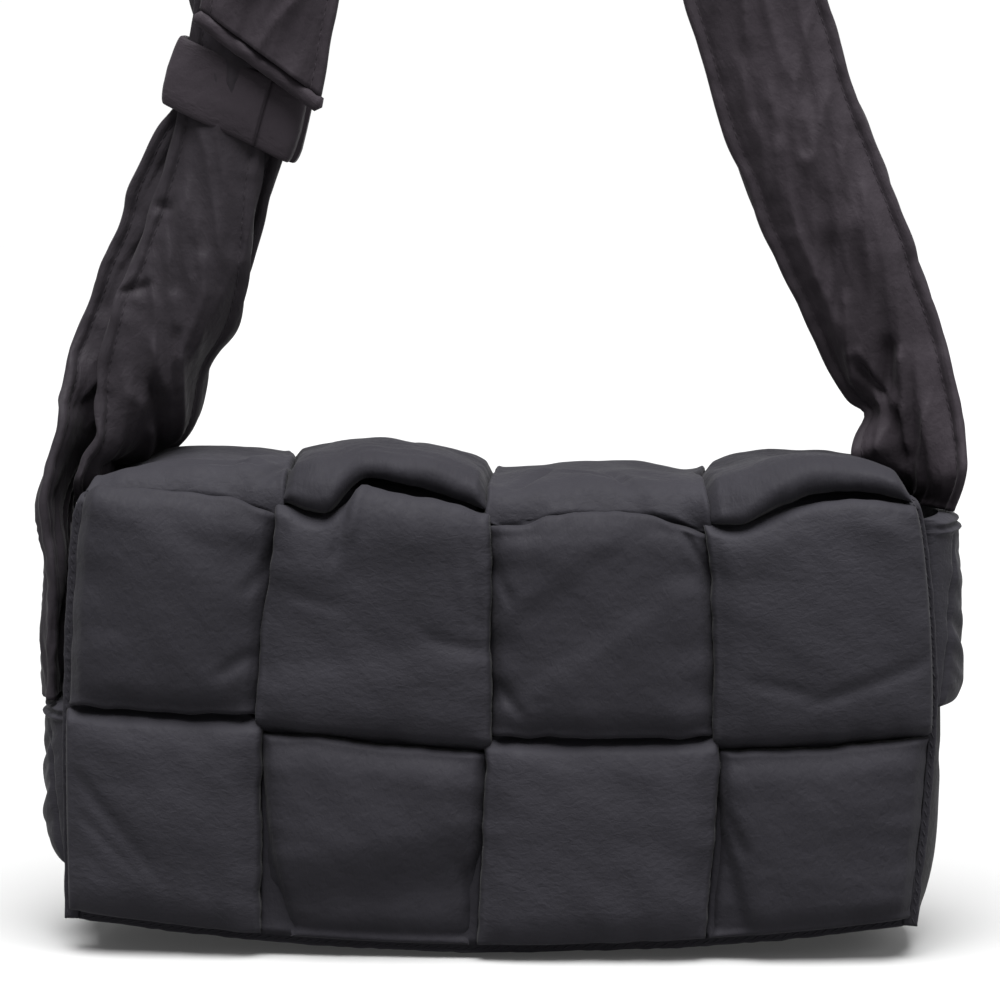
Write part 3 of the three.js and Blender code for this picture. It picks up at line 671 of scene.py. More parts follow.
def crinkled_nylon(name, dark, light, roughness, stretch):
    """Matte nylon with fine crinkles, a grain of threads, soft unevenness and patchy colour."""
    material = bpy.data.materials.new(name)
    material.use_nodes = True
    tree = material.node_tree
    shader = tree.nodes["Principled BSDF"]
    coordinates = node(tree, "ShaderNodeTexCoord", {}).outputs

    def noise(source, kind, stretch=EVEN):
        mapping = {"Vector": coordinates[source], "Scale": stretch}
        inputs = {"Vector": node(tree, "ShaderNodeMapping", mapping).outputs["Vector"]}
        inputs.update({key.title(): kind[key] for key in ("scale", "detail", "distortion")})
        return node(tree, "ShaderNodeTexNoise", inputs).outputs["Fac"]

    def bump(height, kind, below):
        inputs = {"Height": height, "Strength": kind["strength"], "Distance": kind["distance"], **below}
        return {"Normal": node(tree, "ShaderNodeBump", inputs).outputs["Normal"]}

    crinkle = noise("UV", CRINKLE, stretch)
    ramp = node(tree, "ShaderNodeValToRGB", {"Fac": noise("Object", PATCHES)})
    for element, position, colour in zip(ramp.color_ramp.elements, NOISE_SPAN, (dark, light)):
        element.position = position
        element.color = (*colour, 1)
    tree.links.new(ramp.outputs["Color"], shader.inputs["Base Color"])
    gloss = {"Value": crinkle, "From Min": NOISE_SPAN[0], "From Max": NOISE_SPAN[1]}
    gloss.update({"To Min": roughness - CRINKLE_GLOSS, "To Max": roughness + CRINKLE_GLOSS})
    tree.links.new(node(tree, "ShaderNodeMapRange", gloss).outputs["Result"], shader.inputs["Roughness"])
    normal = bump(noise("UV", THREADS), THREADS, {})
    normal = bump(crinkle, CRINKLE, normal)
    normal = bump(noise("Object", RUMPLE), RUMPLE, normal)
    tree.links.new(normal["Normal"], shader.inputs["Normal"])
    for socket, value in SURFACE.items():
        shader.inputs[socket].default_value = value
    return material


materials = {}
for name, row in CLOTHS.items():
    materials[name] = crinkled_nylon(name, *row)


# The surface of the woven cover

FRONT_LENGTH = SHOULDER_HEIGHT - HEM_HEIGHT
CORNER_LENGTH = CORNER_RADIUS * CORNER_TURN
CORNER_TOP = SHOULDER_HEIGHT + CORNER_RADIUS * math.sin(CORNER_TURN)
DOME_ANGLE = math.pi / 2 - CORNER_TURN
DOME_RADIUS = (COVER_HALF_DEPTH - CORNER_RADIUS * (1 - math.cos(CORNER_TURN))) / math.sin(DOME_ANGLE)
DOME_TOP = CORNER_TOP + DOME_RADIUS * (1 - math.cos(DOME_ANGLE))
COVER_LENGTH = 2 * (FRONT_LENGTH + CORNER_LENGTH + DOME_RADIUS * DOME_ANGLE)
FRONT_EDGES = np.array([0, ROW_PITCH, TOP_LINE])
ROW_EDGES = np.concatenate([FRONT_EDGES, COVER_LENGTH - FRONT_EDGES[::-1]])


def drifted(across, along):
    """Distances along the cover after the lines of the front rows have drifted."""
    first = np.sin(math.pi * np.clip(along / TOP_LINE, 0, 1)) ** 2
    second = 1 - smooth(np.abs(along - TOP_LINE), 0, TOP_LINE_REACH)
    return (
        along
        + through(ROW_DRIFT.across, ROW_DRIFT.drift, across) * first
        + through(TOP_LINE_DRIFT.across, TOP_LINE_DRIFT.drift, across) * second
    )


def cover_middle(across, along):
    """Points midway between the plies. Across runs from -1, the left end, to 1, the right end."""
    lean_in = near(across, COLUMN_LEAN.across, COLUMN_LEAN.spread)
    lean_in = lean_in * smooth(along, ROW_PITCH, TOP_LINE)
    lean_in = lean_in * (1 - smooth(along, TOP_LINE, TOP_LINE + ROW_PITCH))
    along = drifted(across, along)
    side = np.where(along > COVER_LENGTH / 2, 1.0, -1.0)
    from_hem = np.minimum(along, COVER_LENGTH - along)
    turned = np.clip((from_hem - FRONT_LENGTH) / CORNER_RADIUS, 0, CORNER_TURN)
    from_top = np.clip((COVER_LENGTH / 2 - from_hem) / DOME_RADIUS, 0, DOME_ANGLE)
    on_dome = from_hem > FRONT_LENGTH + CORNER_LENGTH
    corner_y = COVER_HALF_DEPTH - CORNER_RADIUS * (1 - np.cos(turned))
    corner_z = np.minimum(HEM_HEIGHT + from_hem, SHOULDER_HEIGHT) + CORNER_RADIUS * np.sin(turned)
    depth = np.where(on_dome, DOME_RADIUS * np.sin(from_top), corner_y)
    height = np.where(on_dome, DOME_TOP - DOME_RADIUS * (1 - np.cos(from_top)), corner_z)
    lean = np.where(on_dome, math.pi / 2 - from_top, turned)
    end = across * across
    drooped = smooth(from_hem, DROOP_FROM, COVER_LENGTH / 2)
    half = through(COVER_WIDTHS.along, COVER_WIDTHS.half, from_hem)
    shift = through(COVER_WIDTHS.along, COVER_WIDTHS.shift, from_hem)
    x = across * half + shift + COLUMN_LEAN.shift * lean_in
    y = side * (depth + np.cos(lean) * FRONT_BULGE * (1 - end))
    sag = through(TOP_SAG.across, TOP_SAG.depth, across)
    z = height + END_LIFT * end * (1 - drooped) - (TOP_DROOP * end * end + sag) * drooped
    return grid(x, y, z)


def cover_point(across, along, rise):
    """Points that stand off the cover's middle surface, outwards."""
    sideways = NEARBY / COVER_HALF_WIDTH
    right = cover_middle(across + sideways, along) - cover_middle(across - sideways, along)
    onward = cover_middle(across, along + NEARBY) - cover_middle(across, along - NEARBY)
    return cover_middle(across, along) + unit(np.cross(right, onward)) * np.asarray(rise)[..., None]


# The padded strips

def cell_ends(edges, over, inset, stay):
    """Where a strip's cells end. It stays on top for a little past each line."""
    turns = [edge + (stay if is_over else -stay) for edge, is_over in zip(edges[1:-1], over)]
    first, last = (inset if is_over else HIDDEN_INSET for is_over in (over[0], over[-1]))
    return np.array([edges[0] + first, *turns, edges[-1] - last])


def strip_places(ends):
    """Places along a strip, closer together near the ends of its cells."""
    cells = []
    for low, high in zip(ends, ends[1:]):
        cells.append(clustered(low, high, int((high - low) / STRIDE_STEP))[:-1])
    return np.concatenate([*cells, ends[-1:]])[:, None]


def over_share(places, ends, over):
    """How far a strip lies over its neighbours, 0 to 1, at each place."""
    share = np.full(places.shape, float(over[0]))
    for end, is_over in zip(ends[1:-1], over[1:]):
        if is_over:
            share = share + smooth(places, end - DIVE_END, end + DIVE_START)
        else:
            share = share - smooth(places, end - DIVE_START, end + DIVE_END)
    return share


def crease_relief(name, x, along):
    """Relief of the single creases in one strip."""
    relief = np.zeros(np.broadcast(x, along).shape)
    for row in CREASES.get(name, ()):
        crease = Crease(*row)
        start, end = (crease.x0, crease.along0), (crease.x1, crease.along1)
        fade, beside = beside_line(start, end, x, along)
        valley = crease.valley * near(beside, 0, crease.width)
        relief -= fade * (valley + crease.drop * smooth(beside, 0, DROP_REACH * crease.width))
    return relief


def cloth_relief(strip, rows, breadth, from_edge):
    """Lumps, folds, puckers at the ends of a cell and along its free edges, and single creases."""
    stride, seed = rows.places, strip.seed
    broad = bumps(LUMPS, stride, breadth, seed) + bumps(SLANTED_FOLDS, stride, breadth, seed)
    at_end = bumps(END_PUCKERS, stride, breadth, seed) * np.exp(-rows.from_end / END_PUCKERS.reach)
    at_edge = bumps(EDGE_PUCKERS, stride, breadth, seed) * np.exp(-from_edge / EDGE_PUCKERS.reach)
    lines = bumps(ROLL_LINES, stride, breadth, seed) * (len(strip.rolls) > 0)
    x, along = (breadth, stride) if strip.upright else (stride, breadth)
    return broad * rows.relief + at_end + at_edge + lines + crease_relief(strip.name, x, along)


def strip_face(strip, rows, across, is_top):
    """Places across a strip and heights of one of its faces. Across runs from -1 to 1."""
    half = (rows.high - rows.low) / 2
    breadth = rows.low + (across + 1) * half
    from_edge = (1 - np.abs(across)) * half
    rolled = rows.raised * smooth(-across, ROLL_FROM, 1)
    lift = FREE_LIFT * (1 - smooth(from_edge, 0, FREE_LIFT_REACH)) + rolled
    over_bottom = PLY_GAP + lift
    if not is_top:
        under_bottom = -PLY_GAP - UNDER_THICK * ellipse(from_edge / NOSE_ROUND)
        return breadth, under_bottom + (over_bottom - under_bottom) * rows.shown
    crown = 1 + CROWN * (1 - across**2) * np.minimum(1, rows.from_end / CROWN_REACH)
    nose_thick = NOSE + ROLL_NOSE * rolled
    nose = nose_thick * ellipse(from_edge / (NOSE_ROUND + ROLL_ROUND * rolled)) * rows.end_nose
    filled = fill_out(from_edge / rows.edge_reaches) * fill_out(rows.from_end / rows.end_reaches)
    padding = np.maximum(0, OVER_THICK * rows.shares * crown - nose_thick) * filled
    relief = cloth_relief(strip, rows, breadth, from_edge) * ellipse(from_edge / RELIEF_FADE)
    over_top = over_bottom + nose + padding + relief
    return breadth, -PLY_GAP + (over_top + PLY_GAP) * rows.shown


def strip_rows(strip):
    """What changes along a strip, at each of its places."""
    ends, over = strip.ends, strip.over
    places = strip_places(ends)
    shown = over_share(places, ends, over)
    last = len(over) - 1
    cell = np.clip(np.searchsorted(ends, places, side="right") - 1, 0, last)
    before, after = places - ends[cell], ends[cell + 1] - places
    from_end = np.minimum(before, after)
    sewn_end = np.where(before < after, cell == 0, cell == last)
    by_cell = {key: np.asarray(values)[cell] for key, values in strip.cells.items()}
    end_share = np.where(sewn_end, strip.sewn_nose, NOSE_AT_DIVE)
    tapered = end_share + (1 - end_share) * smooth(from_end, 0, by_cell["tapers"])

    def edge(which, inward):
        line = strip.lines[which]
        if strip.sewn[which]:
            return line + inward * (strip.edge_inset * shown + HIDDEN_INSET * (1 - shown))
        wobble = sum(bumps(kind, places, which, strip.seed) for kind in (EDGE_WOBBLE, EDGE_NIBBLE))
        return line + (wobble - inward * strip.lap) * shown + inward * TUCK * (1 - shown)

    raised = sum(roll.lift * near(places, roll.x, roll.spread) for roll in strip.rolls)
    return Named(
        **by_cell,
        places=places,
        shown=shown,
        from_end=from_end,
        end_nose=np.where(sewn_end, ellipse(from_end / NOSE_ROUND), 1) * tapered,
        low=edge(0, 1),
        high=edge(1, -1),
        raised=raised * shown,
    )


def padded_strip(strip):
    """A padded strip of the weave, from its description."""
    rows = strip_rows(strip)
    places = rows.places
    top = strip_face(strip, rows, clustered(-1, 1, TOP_SIDES)[None, :], True)
    bottom = strip_face(strip, rows, clustered(1, -1, BOTTOM_SIDES)[None, 1:-1], False)
    breadth, rise = (np.concatenate([top[k], bottom[k]], axis=1) for k in (0, 1))
    x, along = (breadth, places) if strip.upright else (places, breadth)
    points = cover_point(x / COVER_HALF_WIDTH, along, rise)
    first, far = top[0][:, :1], top[0][:, -1:]
    around = np.concatenate([top[0], 2 * far - bottom[0], 2 * far - first], axis=1)
    drift = drifted(x / COVER_HALF_WIDTH, along) - along
    drift = np.concatenate([drift, drift[:, :1]], axis=1)
    cloth_places = (places + drift, around) if strip.upright else (places, around + drift)
    return tube(points, grid(*cloth_places))


def upright_is_over(column, row):
    return (column + row) % 2 == 0


def by_row(cells, on_top, elsewhere):
    return [on_top if row == TOP_ROW else elsewhere for _, row in cells]


def cell_values(cells, tapers, edge_reaches):
    """What changes from cell to cell of a strip."""
    return {
        "shares": [TOP_THICK[column] if row == TOP_ROW else 1 for column, row in cells],
        "end_reaches": by_row(cells, TOP_DIVE_REACH, DIVE_REACH),
        "relief": by_row(cells, TOP_RELIEF, 1),
        "tapers": tapers,
        "edge_reaches": edge_reaches,
    }


def upright_strip(column):
    cells = [(column, row) for row in range(len(ROW_NAMES))]
    over = [upright_is_over(*cell) for cell in cells]
    tapers = by_row(cells, TOP_DIVE_TAPER, DIVE_TAPER)
    return Named(
        name=f"upright_strip_{column + 1}",
        # painted light: a lighter copy of the crossing strips' nylon
        cloth="upright_nylon",
        upright=True,
        over=over,
        ends=cell_ends(ROW_EDGES, over, HEM_INSET, CROSSING_RETREAT),
        lines=COLUMN_EDGES[column : column + 2] * COVER_HALF_WIDTH,
        sewn=(column == 0, column == len(COLUMN_EDGES) - 2),
        edge_inset=UPRIGHT_INSET,
        lap=UPRIGHT_LAP,
        sewn_nose=1,
        cells=cell_values(cells, tapers, by_row(cells, TOP_FREE_REACH, FREE_REACH)),
        rolls=(),
        seed=SEEDS["upright_strip"] + NEXT_STRIP_SEED * column,
    )


def crossing_strip(row):
    cells = [(column, row) for column in range(len(COLUMN_EDGES) - 1)]
    over = [not upright_is_over(*cell) for cell in cells]
    return Named(
        name=f"crossing_strip_{ROW_NAMES[row]}",
        cloth="crossing_nylon",
        upright=False,
        over=over,
        ends=cell_ends(COLUMN_EDGES * COVER_HALF_WIDTH, over, CROSSING_INSET, 0),
        lines=ROW_EDGES[row : row + 2],
        sewn=(row == 0, row == len(ROW_NAMES) - 1),
        edge_inset=HEM_INSET,
        lap=-CROSSING_RETREAT,
        sewn_nose=SIDE_NOSE,
        cells=cell_values(cells, [DIVE_TAPER] * len(cells), [FREE_REACH] * len(cells)),
        rolls=ROLLS if row == TOP_ROW else (),
        seed=SEEDS["crossing_strip"] + NEXT_STRIP_SEED * row,
    )


strips = [upright_strip(column) for column in range(len(COLUMN_EDGES) - 1)]
strips += [crossing_strip(row) for row in range(len(ROW_NAMES))]
for strip in strips:
    name = strip.name
    add_piece(f"{name}_padded", name, padded_strip(strip), strip.cloth)


# The sewn border and its stitches

def stitches(path, normals, slant=0):
    """A row of short stitches along a path that lies on the cloth, each turned by the slant."""
    walked = lengths_along(path)
    middles = np.arange(STITCH_PITCH / 2, walked[-1], STITCH_PITCH)

    def read(values):
        return np.stack([np.interp(middles, walked, values[:, k]) for k in range(3)], axis=-1)

    along = unit(read(np.gradient(path, walked, axis=0)))
    up = unit(read(normals))
    onward = math.cos(slant) * along + math.sin(slant) * np.cross(up, along)
    side = np.cross(up, onward)
    angle = full_turn(STITCH_SIDES)
    round_off = np.cos(angle)[:, None] * side[:, None, None] + np.sin(angle)[:, None] * up[:, None, None]
    reach = STITCH_REACH[:, None, None] * STITCH_LENGTH
    girth = STITCH_GIRTH[:, None, None] * STITCH_RADIUS
    points = read(path)[:, None, None] + reach * onward[:, None, None] + round_off * girth
    places = np.zeros((len(STITCH_REACH), STITCH_SIDES + 1, 2))
    return joined([tube(one, places) for one in points])


def border_part(across, along, outside, drop, seed):
    """A flat sewn band along a line on the cover, with stitches in the outer one of its two grooves."""
    half_width = BORDER / 2
    centre = cover_point(across, along, -drop)
    normal = unit(cover_point(across, along, 1) - cover_point(across, along, 0))
    sideways = outside * np.cross(normal, unit(np.gradient(centre, axis=0)))
    turn = full_turn(BORDER_SIDES)
    out = blunt(np.cos(turn), BORDER_BLUNT)
    rise = blunt(np.sin(turn), BORDER_BLUNT) * BORDER_HALF
    for groove in BORDER_GROOVES:
        rise = rise - groove.depth * near(out, groove.at, groove.width) * (rise > 0)
    walked = lengths_along(centre)[:, None]
    wave = sum(bumps(kind, walked, BETWEEN_LINES, seed) for kind in (BORDER_WAVE, BORDER_PUCKER))
    points = (
        centre[:, None]
        + sideways[:, None] * (out * half_width + wave)[..., None]
        + normal[:, None] * (rise + wave / 2)[..., None]
    )
    around = np.linspace(0, 4 * half_width, BORDER_SIDES + 1)
    sewn = BORDER_GROOVES[0]
    height = BORDER_HALF - sewn.depth + STITCH_RADIUS / 2
    path = centre + normal * (height + wave / 2) + sideways * (sewn.at * half_width + wave)
    return joined([tube(points, grid(walked, around)), stitches(path, normal, STITCH_SLANT)])


def side_border(side):
    along = np.arange(0, COVER_LENGTH + STRIDE_STEP, STRIDE_STEP)
    across = np.full_like(along, side * (1 - BORDER / 2 / COVER_HALF_WIDTH))
    return border_part(across, along, -side, SIDE_BORDER_DROP, SEEDS["side_border"] + side)


def hem_border(along_middle, outside):
    reach = 1 - BORDER / COVER_HALF_WIDTH
    across = np.linspace(-reach, reach, int(2 * reach * COVER_HALF_WIDTH / STRIDE_STEP))
    along = np.full_like(across, along_middle)
    return border_part(across, along, outside, HEM_DROP, SEEDS["hem"])


borders = {
    "side_border_left": side_border(-1),
    "side_border_right": side_border(1),
    "flap_hem": hem_border(BORDER / 2, -1),
    "back_hem": hem_border(COVER_LENGTH - BORDER / 2, 1),
}
for name, part in borders.items():
    add_piece(f"{name}_sewn", name, part, "crossing_nylon")


# The pouch and its gussets

def pouch_outline(x, inset):
    """The U of the pouch's wall at each x, from the front top round the base to the back top."""
    end = (x / COVER_HALF_WIDTH) ** 2
    half_depth = POUCH_HALF_DEPTH + FRONT_BULGE * (1 - end) - inset
    radius = BASE_RADIUS - inset
    centre_z = BASE_END_RISE * (x / POUCH_HALF_WIDTH) ** 2 + BASE_RADIUS
    level = np.linspace(1, 0, POUCH_STEPS.wall)
    turn = np.linspace(0, math.pi / 2, POUCH_STEPS.corner)
    run = np.linspace(-1, 1, POUCH_STEPS.base)[1:-1]
    corner_y, corner_z = half_depth - radius * (1 - np.cos(turn)), centre_z - radius * np.sin(turn)
    stretches = (
        (-half_depth, centre_z + (POUCH_FRONT_TOP - centre_z) * level),
        (-corner_y, corner_z),
        (run * (half_depth - radius), centre_z - radius),
        (corner_y[:, ::-1], corner_z[:, ::-1]),
        (half_depth, centre_z + (POUCH_BACK_TOP - centre_z) * level[::-1]),
    )
    return np.concatenate([grid(x, y, z) for y, z in stretches], axis=1)


def pouch_part():
    x = np.arange(-POUCH_HALF_WIDTH, POUCH_HALF_WIDTH + PANEL_STEP, PANEL_STEP)[:, None]
    x = np.clip(x, -POUCH_HALF_WIDTH, POUCH_HALF_WIDTH)
    outer = pouch_outline(x, 0)
    inner = pouch_outline(x, WALL)
    y, z = outer[..., 1], outer[..., 2]
    wrinkles = bumps(POUCH_WRINKLES, x, z + y, SEEDS["pouch"])
    sides = np.sign(y) * wrinkles * smooth(z, *POUCH_WRINKLE_RISE)
    outer[..., 1] += sides
    inner[..., 1] += sides
    ring = np.concatenate([outer, inner[:, ::-1]], axis=1)
    around = np.linspace(0, 2 * POUCH_GIRTH, ring.shape[1] + 1)
    return tube(ring, grid(x, around))


def gusset_face(y, z):
    """How far a gusset's outer face stands out, bowed most in its middle."""
    bow = through(GUSSET_BOW.height, GUSSET_BOW.bow, z)
    return POUCH_HALF_WIDTH + SEAM_GAP + GUSSET_WALL + bow * (1 - (y / GUSSET_HALF_DEPTH) ** 2)


def end_wall(side, outer, inner, y, z):
    """A closed wall at one end of the bag, between two faces on a grid of y and z."""
    y, z = np.broadcast_to(y, outer.shape), np.broadcast_to(z, outer.shape)
    both_faces = ((side * outer, y, z), (side * inner[:, ::-1], y[:, ::-1], z[:, ::-1]))
    points = np.concatenate([grid(*face) for face in both_faces], axis=1)
    around = np.linspace(0, 2 * (y[0, -1] - y[0, 0]), points.shape[1] + 1)
    return tube(points, grid(z[:, :1], around))


def gusset_panel(side):
    y = np.linspace(-1, 1, PANEL_COLUMNS)[None, :] * GUSSET_HALF_DEPTH
    from_middle = y / GUSSET_HALF_DEPTH
    bottom = GUSSET_BOW.height[0] + GUSSET_CORNER.cut * from_middle ** GUSSET_CORNER.power
    z = bottom + (GUSSET_BOW.height[-1] - bottom) * np.linspace(0, 1, PANEL_ROWS)[:, None]
    wrinkles = bumps(GUSSET_WRINKLES, z, y, SEEDS["gusset_panel"] + side) * (1 - from_middle**2)
    outer = gusset_face(y, z) + np.minimum(wrinkles, 0)
    return end_wall(side, outer, outer - GUSSET_WALL, y, z)


def band_relief(side, y, z, bottom, top, from_edge):
    """Creases, lumps and one upright fold below the two lines of a band's hem."""
    creases = sum(bumps(kind, z, y, SEEDS["gusset_band"] + side) for kind in (BAND_CREASES, BAND_LUMPS))
    share = (z - bottom) / (top - bottom)
    fold_at = BAND_FOLD.bottom + (BAND_FOLD.top - BAND_FOLD.bottom) * share
    fold = BAND_FOLD.depth * near(y, fold_at, BAND_FOLD.width)
    hems = sum(near(top - z, place, BAND_HEMS.width) for place in BAND_HEMS.from_top)
    lowest_hem = BAND_HEMS.from_top[-1]
    below_hems = smooth(top - z, lowest_hem, lowest_hem + BAND_ROUND)
    creases = creases * smooth(from_edge, 0, BAND_ROUND) - fold
    return creases * below_hems + BAND_HEMS.height * hems


def gusset_band(side, bottom, top):
    """A padded band across a gusset, hemmed along its top and creased across its height."""
    z = clustered(bottom, top, BAND_ROWS)[:, None]
    share = clustered(-1, 1, BAND_COLUMNS)[None, :]
    y = share * BAND_HALF_DEPTH
    from_edge = np.minimum((1 - np.abs(share)) * BAND_HALF_DEPTH, np.minimum(z - bottom, top - z))
    puff = BAND_EDGE + (BAND_PUFF - BAND_EDGE) * ellipse(from_edge / BAND_ROUND)
    puff = puff + band_relief(side, y, z, bottom, top, from_edge)
    inner = gusset_face(y, z) + SEAM_GAP
    return end_wall(side, inner + puff, inner, y, z)


add_piece("pouch_cloth", "pouch", pouch_part(), "body_nylon")
for side, name in ((-1, "gusset_panel_left"), (1, "gusset_panel_right")):
    add_piece(f"{name}_cloth", name, gusset_panel(side), "body_nylon")
for band in GUSSET_BANDS:
    part = gusset_band(band.side, band.bottom, band.top)
    # painted light: the bands take the lighter copy of the nylon
    add_piece(f"{band.name}_padded", band.name, part, "upright_nylon")


# The straps

def strap_sections(name, rows):
    """Frames and sizes at close steps along a strap, from its gathered foot on."""
    foot = FEET[name]
    table = dict(zip(Section._fields, np.array([Section(*row) for row in rows], float).T))
    chord = lengths_along(np.stack([table[axis] for axis in "xyz"], axis=-1))
    walked = np.linspace(foot.start, chord[-1], int(chord[-1] / STRAP_STEP))
    read = {column: through(chord, values, walked)[:, None] for column, values in table.items()}
    spread = smooth(walked, foot.start, foot.start + foot.reach)[:, None]
    narrowed = read["width"] / 2 * (1 - foot.width) * (1 - spread)
    read["width"] = read["width"] - 2 * narrowed
    read["thick"] = read["thick"] * (foot.thick + (1 - foot.thick) * spread)
    centre = np.concatenate([read[axis] for axis in "xyz"], axis=-1)
    onward = unit(np.gradient(centre, walked, axis=0))
    turn = np.radians(read["turn"])
    breadth = np.concatenate([np.sin(turn), np.cos(turn), np.zeros_like(turn)], axis=-1)
    breadth = unit(breadth - onward * np.sum(breadth * onward, axis=-1, keepdims=True))
    return Named(
        **read,
        walked=walked[:, None],
        centre=centre + breadth * narrowed,
        onward=onward,
        breadth=breadth,
        face=np.cross(onward, breadth),
    )


def fold_relief(name, walked, across, half):
    """Relief of the single folds of one strap, towards its face."""
    relief = np.zeros(np.broadcast(walked, across).shape)
    for row in FOLDS[name]:
        fold = Fold(*row)
        start, end = (fold.along0, fold.across0 * half), (fold.along1, fold.across1 * half)
        fade, beside = beside_line(start, end, walked, across * half)
        crest = np.exp((FOLD_CREST - np.hypot(beside, FOLD_CREST)) / fold.width)
        relief += fold.height * fade * crest
    return relief


def lobe_bend(walked, across):
    """The shoulder strap's foot bulges forward on the side that turns to the back."""
    swell = smooth(walked, LOBE.start, LOBE.peak) * (1 - smooth(walked, LOBE.peak, LOBE.end))
    return LOBE.reach * swell * smooth(across, 0, 1)


def loop_bend(walked, across):
    """The loop's front leg folds back beside its ridge."""
    ridge = through(LOOP_RIDGE.along, LOOP_RIDGE.across, walked)
    depth = through(LOOP_RIDGE.along, LOOP_RIDGE.depth, walked)
    return depth * np.maximum(0, across - ridge) / (LOOP_RIDGE_END - ridge)


BENDS = {"shoulder_strap": lobe_bend, "strap_loop": loop_bend}


def edge_pulls(name, walked, across):
    """How far a strap's edges are drawn out, and down along the strap."""
    out = np.zeros(np.broadcast(walked, across).shape)
    down = np.zeros_like(out)
    for row in PULLS[name]:
        pull = Pull(*row)
        follows = smooth(across * pull.side, PULL_FROM, 1)
        share = near(walked, pull.along, pull.spread) * follows
        out += pull.side * pull.out * share
        down += pull.down * share
    return out, down


def strap_skin(strap, from_edge, flat_out, body, seed):
    """How far one face of a strap stands off its middle: padding, seam, puckers and wrinkles."""
    flange = np.minimum(STRAP_FLANGE, strap.thick / 2)
    rise = (flange + (strap.thick / 2 - flange) * body) * ellipse(from_edge / STRAP_EDGE_ROUND)
    at_seam = near(from_edge, STRAP_SEAM, STRAP_SEAM_WIDTH)
    near_seam = near(from_edge, STRAP_SEAM, STRAP_PUCKERS.reach)
    puckers = bumps(STRAP_PUCKERS, strap.walked, flat_out, seed) * near_seam
    wrinkles = crests(LONG_WRINKLES, strap.walked, flat_out, seed) * body
    return rise - STRAP_SEAM_DEPTH * at_seam + puckers + wrinkles


def strap_bend(name, strap, across, flat_out, body):
    """How far both faces of a strap are bent together: folds, lumps and pleats."""
    walked, seed = strap.walked, SEEDS[name]
    folds = bumps(STRAP_FOLDS, walked, flat_out, seed) * body
    lumps = bumps(STRAP_LUMPS, walked, flat_out, seed) * body
    pleats = crests(STRAP_PLEATS, walked, flat_out, seed) * body
    single = fold_relief(name, walked, across, strap.width / 2)
    return folds + lumps + PLEAT_FACING[name] * pleats + single + BENDS[name](walked, across)


def strap_face(name, strap, across, sign):
    """Points of one face of a strap at shares of its half width."""
    seed = SEEDS[name] + (BACK_FACE_SEED if sign < 0 else 0)
    half, walked, edge = strap.width / 2, strap.walked, np.sign(across)
    scallop = bumps(STRAP_SCALLOP, walked + SCALLOP_APART * edge, BETWEEN_LINES, seed)
    scallop = SCALLOP_HEIGHT[name] * scallop * smooth(np.abs(across), SCALLOP_FROM, 1)
    pulled_out, pulled_down = edge_pulls(name, walked, across)
    flat_out = across * half
    out = flat_out + edge * scallop + pulled_out
    from_edge = (1 - np.abs(across)) * half
    body = smooth(from_edge, STRAP_SEAM - STRAP_BODY_START, STRAP_SEAM + STRAP_BODY_REACH)
    skin = strap_skin(strap, from_edge, flat_out, body, seed)
    through_cloth = sign * skin + strap_bend(name, strap, across, flat_out, body)
    return (
        strap.centre[:, None]
        + strap.breadth[:, None] * out[..., None]
        + strap.onward[:, None] * (strap.skew * out - pulled_down)[..., None]
        + strap.face[:, None] * through_cloth[..., None]
    )


def strap_part(name, rows):
    """A padded strap with a row of stitches along each seam."""
    strap = strap_sections(name, rows)
    across = clustered(-1, 1, STRAP_SIDES)[None, :]
    front = strap_face(name, strap, across, 1)
    back = strap_face(name, strap, across[:, ::-1][:, 1:-1], -1)
    ring = np.concatenate([front, back], axis=1)
    around = np.linspace(0, 1, ring.shape[1] + 1) * 2 * strap.width
    parts = [tube(ring, grid(strap.walked, around))]
    for sign in (1, -1):
        for edge in (-1, 1):
            seam = edge * (1 - 2 * STRAP_SEAM / strap.width)
            path = strap_face(name, strap, seam, sign)[:, 0]
            parts.append(stitches(path, sign * strap.face))
    return joined(parts)


def rolled_hem():
    """The thick rolled hem across the shoulder strap's slanted end."""
    strap = strap_sections("shoulder_strap", SHOULDER_STRAP)
    axes = (strap.centre, strap.onward, strap.breadth, strap.face)
    centre, onward, breadth, face = (axis[-1] for axis in axes)
    half, skew = strap.width[-1, 0] / 2, strap.skew[-1, 0]
    first, last = -half - ROLLED_HEM_PAST[0], half + ROLLED_HEM_PAST[1]
    out = np.linspace(first, last, ROLLED_HEM_STEPS)[:, None]
    path = centre + breadth * out + onward * (skew * out + ROLLED_HEM_RADIUS + HEM_GAP)
    side = unit(np.cross(unit(breadth + onward * skew), face))
    angle = full_turn(ROLLED_HEM_SIDES)
    ends = ellipse(np.minimum(out - first, last - out) / ROLLED_HEM_END)
    knots = bumps(ROLLED_HEM_KNOTS, out, angle[None], SEEDS["strap_end_hem"])
    girth = ROLLED_HEM_RADIUS * ends * (1 + knots)
    round_off = np.cos(angle)[:, None] * side + np.sin(angle)[:, None] * face
    points = path[:, None] + girth[..., None] * round_off
    around = np.linspace(0, 2 * math.pi * ROLLED_HEM_RADIUS, ROLLED_HEM_SIDES + 1)
    return tube(points, grid(out, around))


def keeper_outline():
    """The middle of the keeper's wall seen from above, and the way out of it."""
    turn = full_turn(KEEPER_STEPS)
    rounded = np.stack([np.cos(turn), np.sin(turn)], axis=-1)
    reach = np.sum(np.abs(rounded) ** KEEPER_SQUARENESS, axis=-1, keepdims=True) ** (-1 / KEEPER_SQUARENESS)
    half_sizes = np.array([KEEPER.width + KEEPER.wall, KEEPER.depth + KEEPER.wall]) / 2
    outline = half_sizes * rounded * reach
    step = np.roll(outline, -1, axis=0) - np.roll(outline, 1, axis=0)
    return outline, unit(np.stack([step[:, 1], -step[:, 0]], axis=-1))


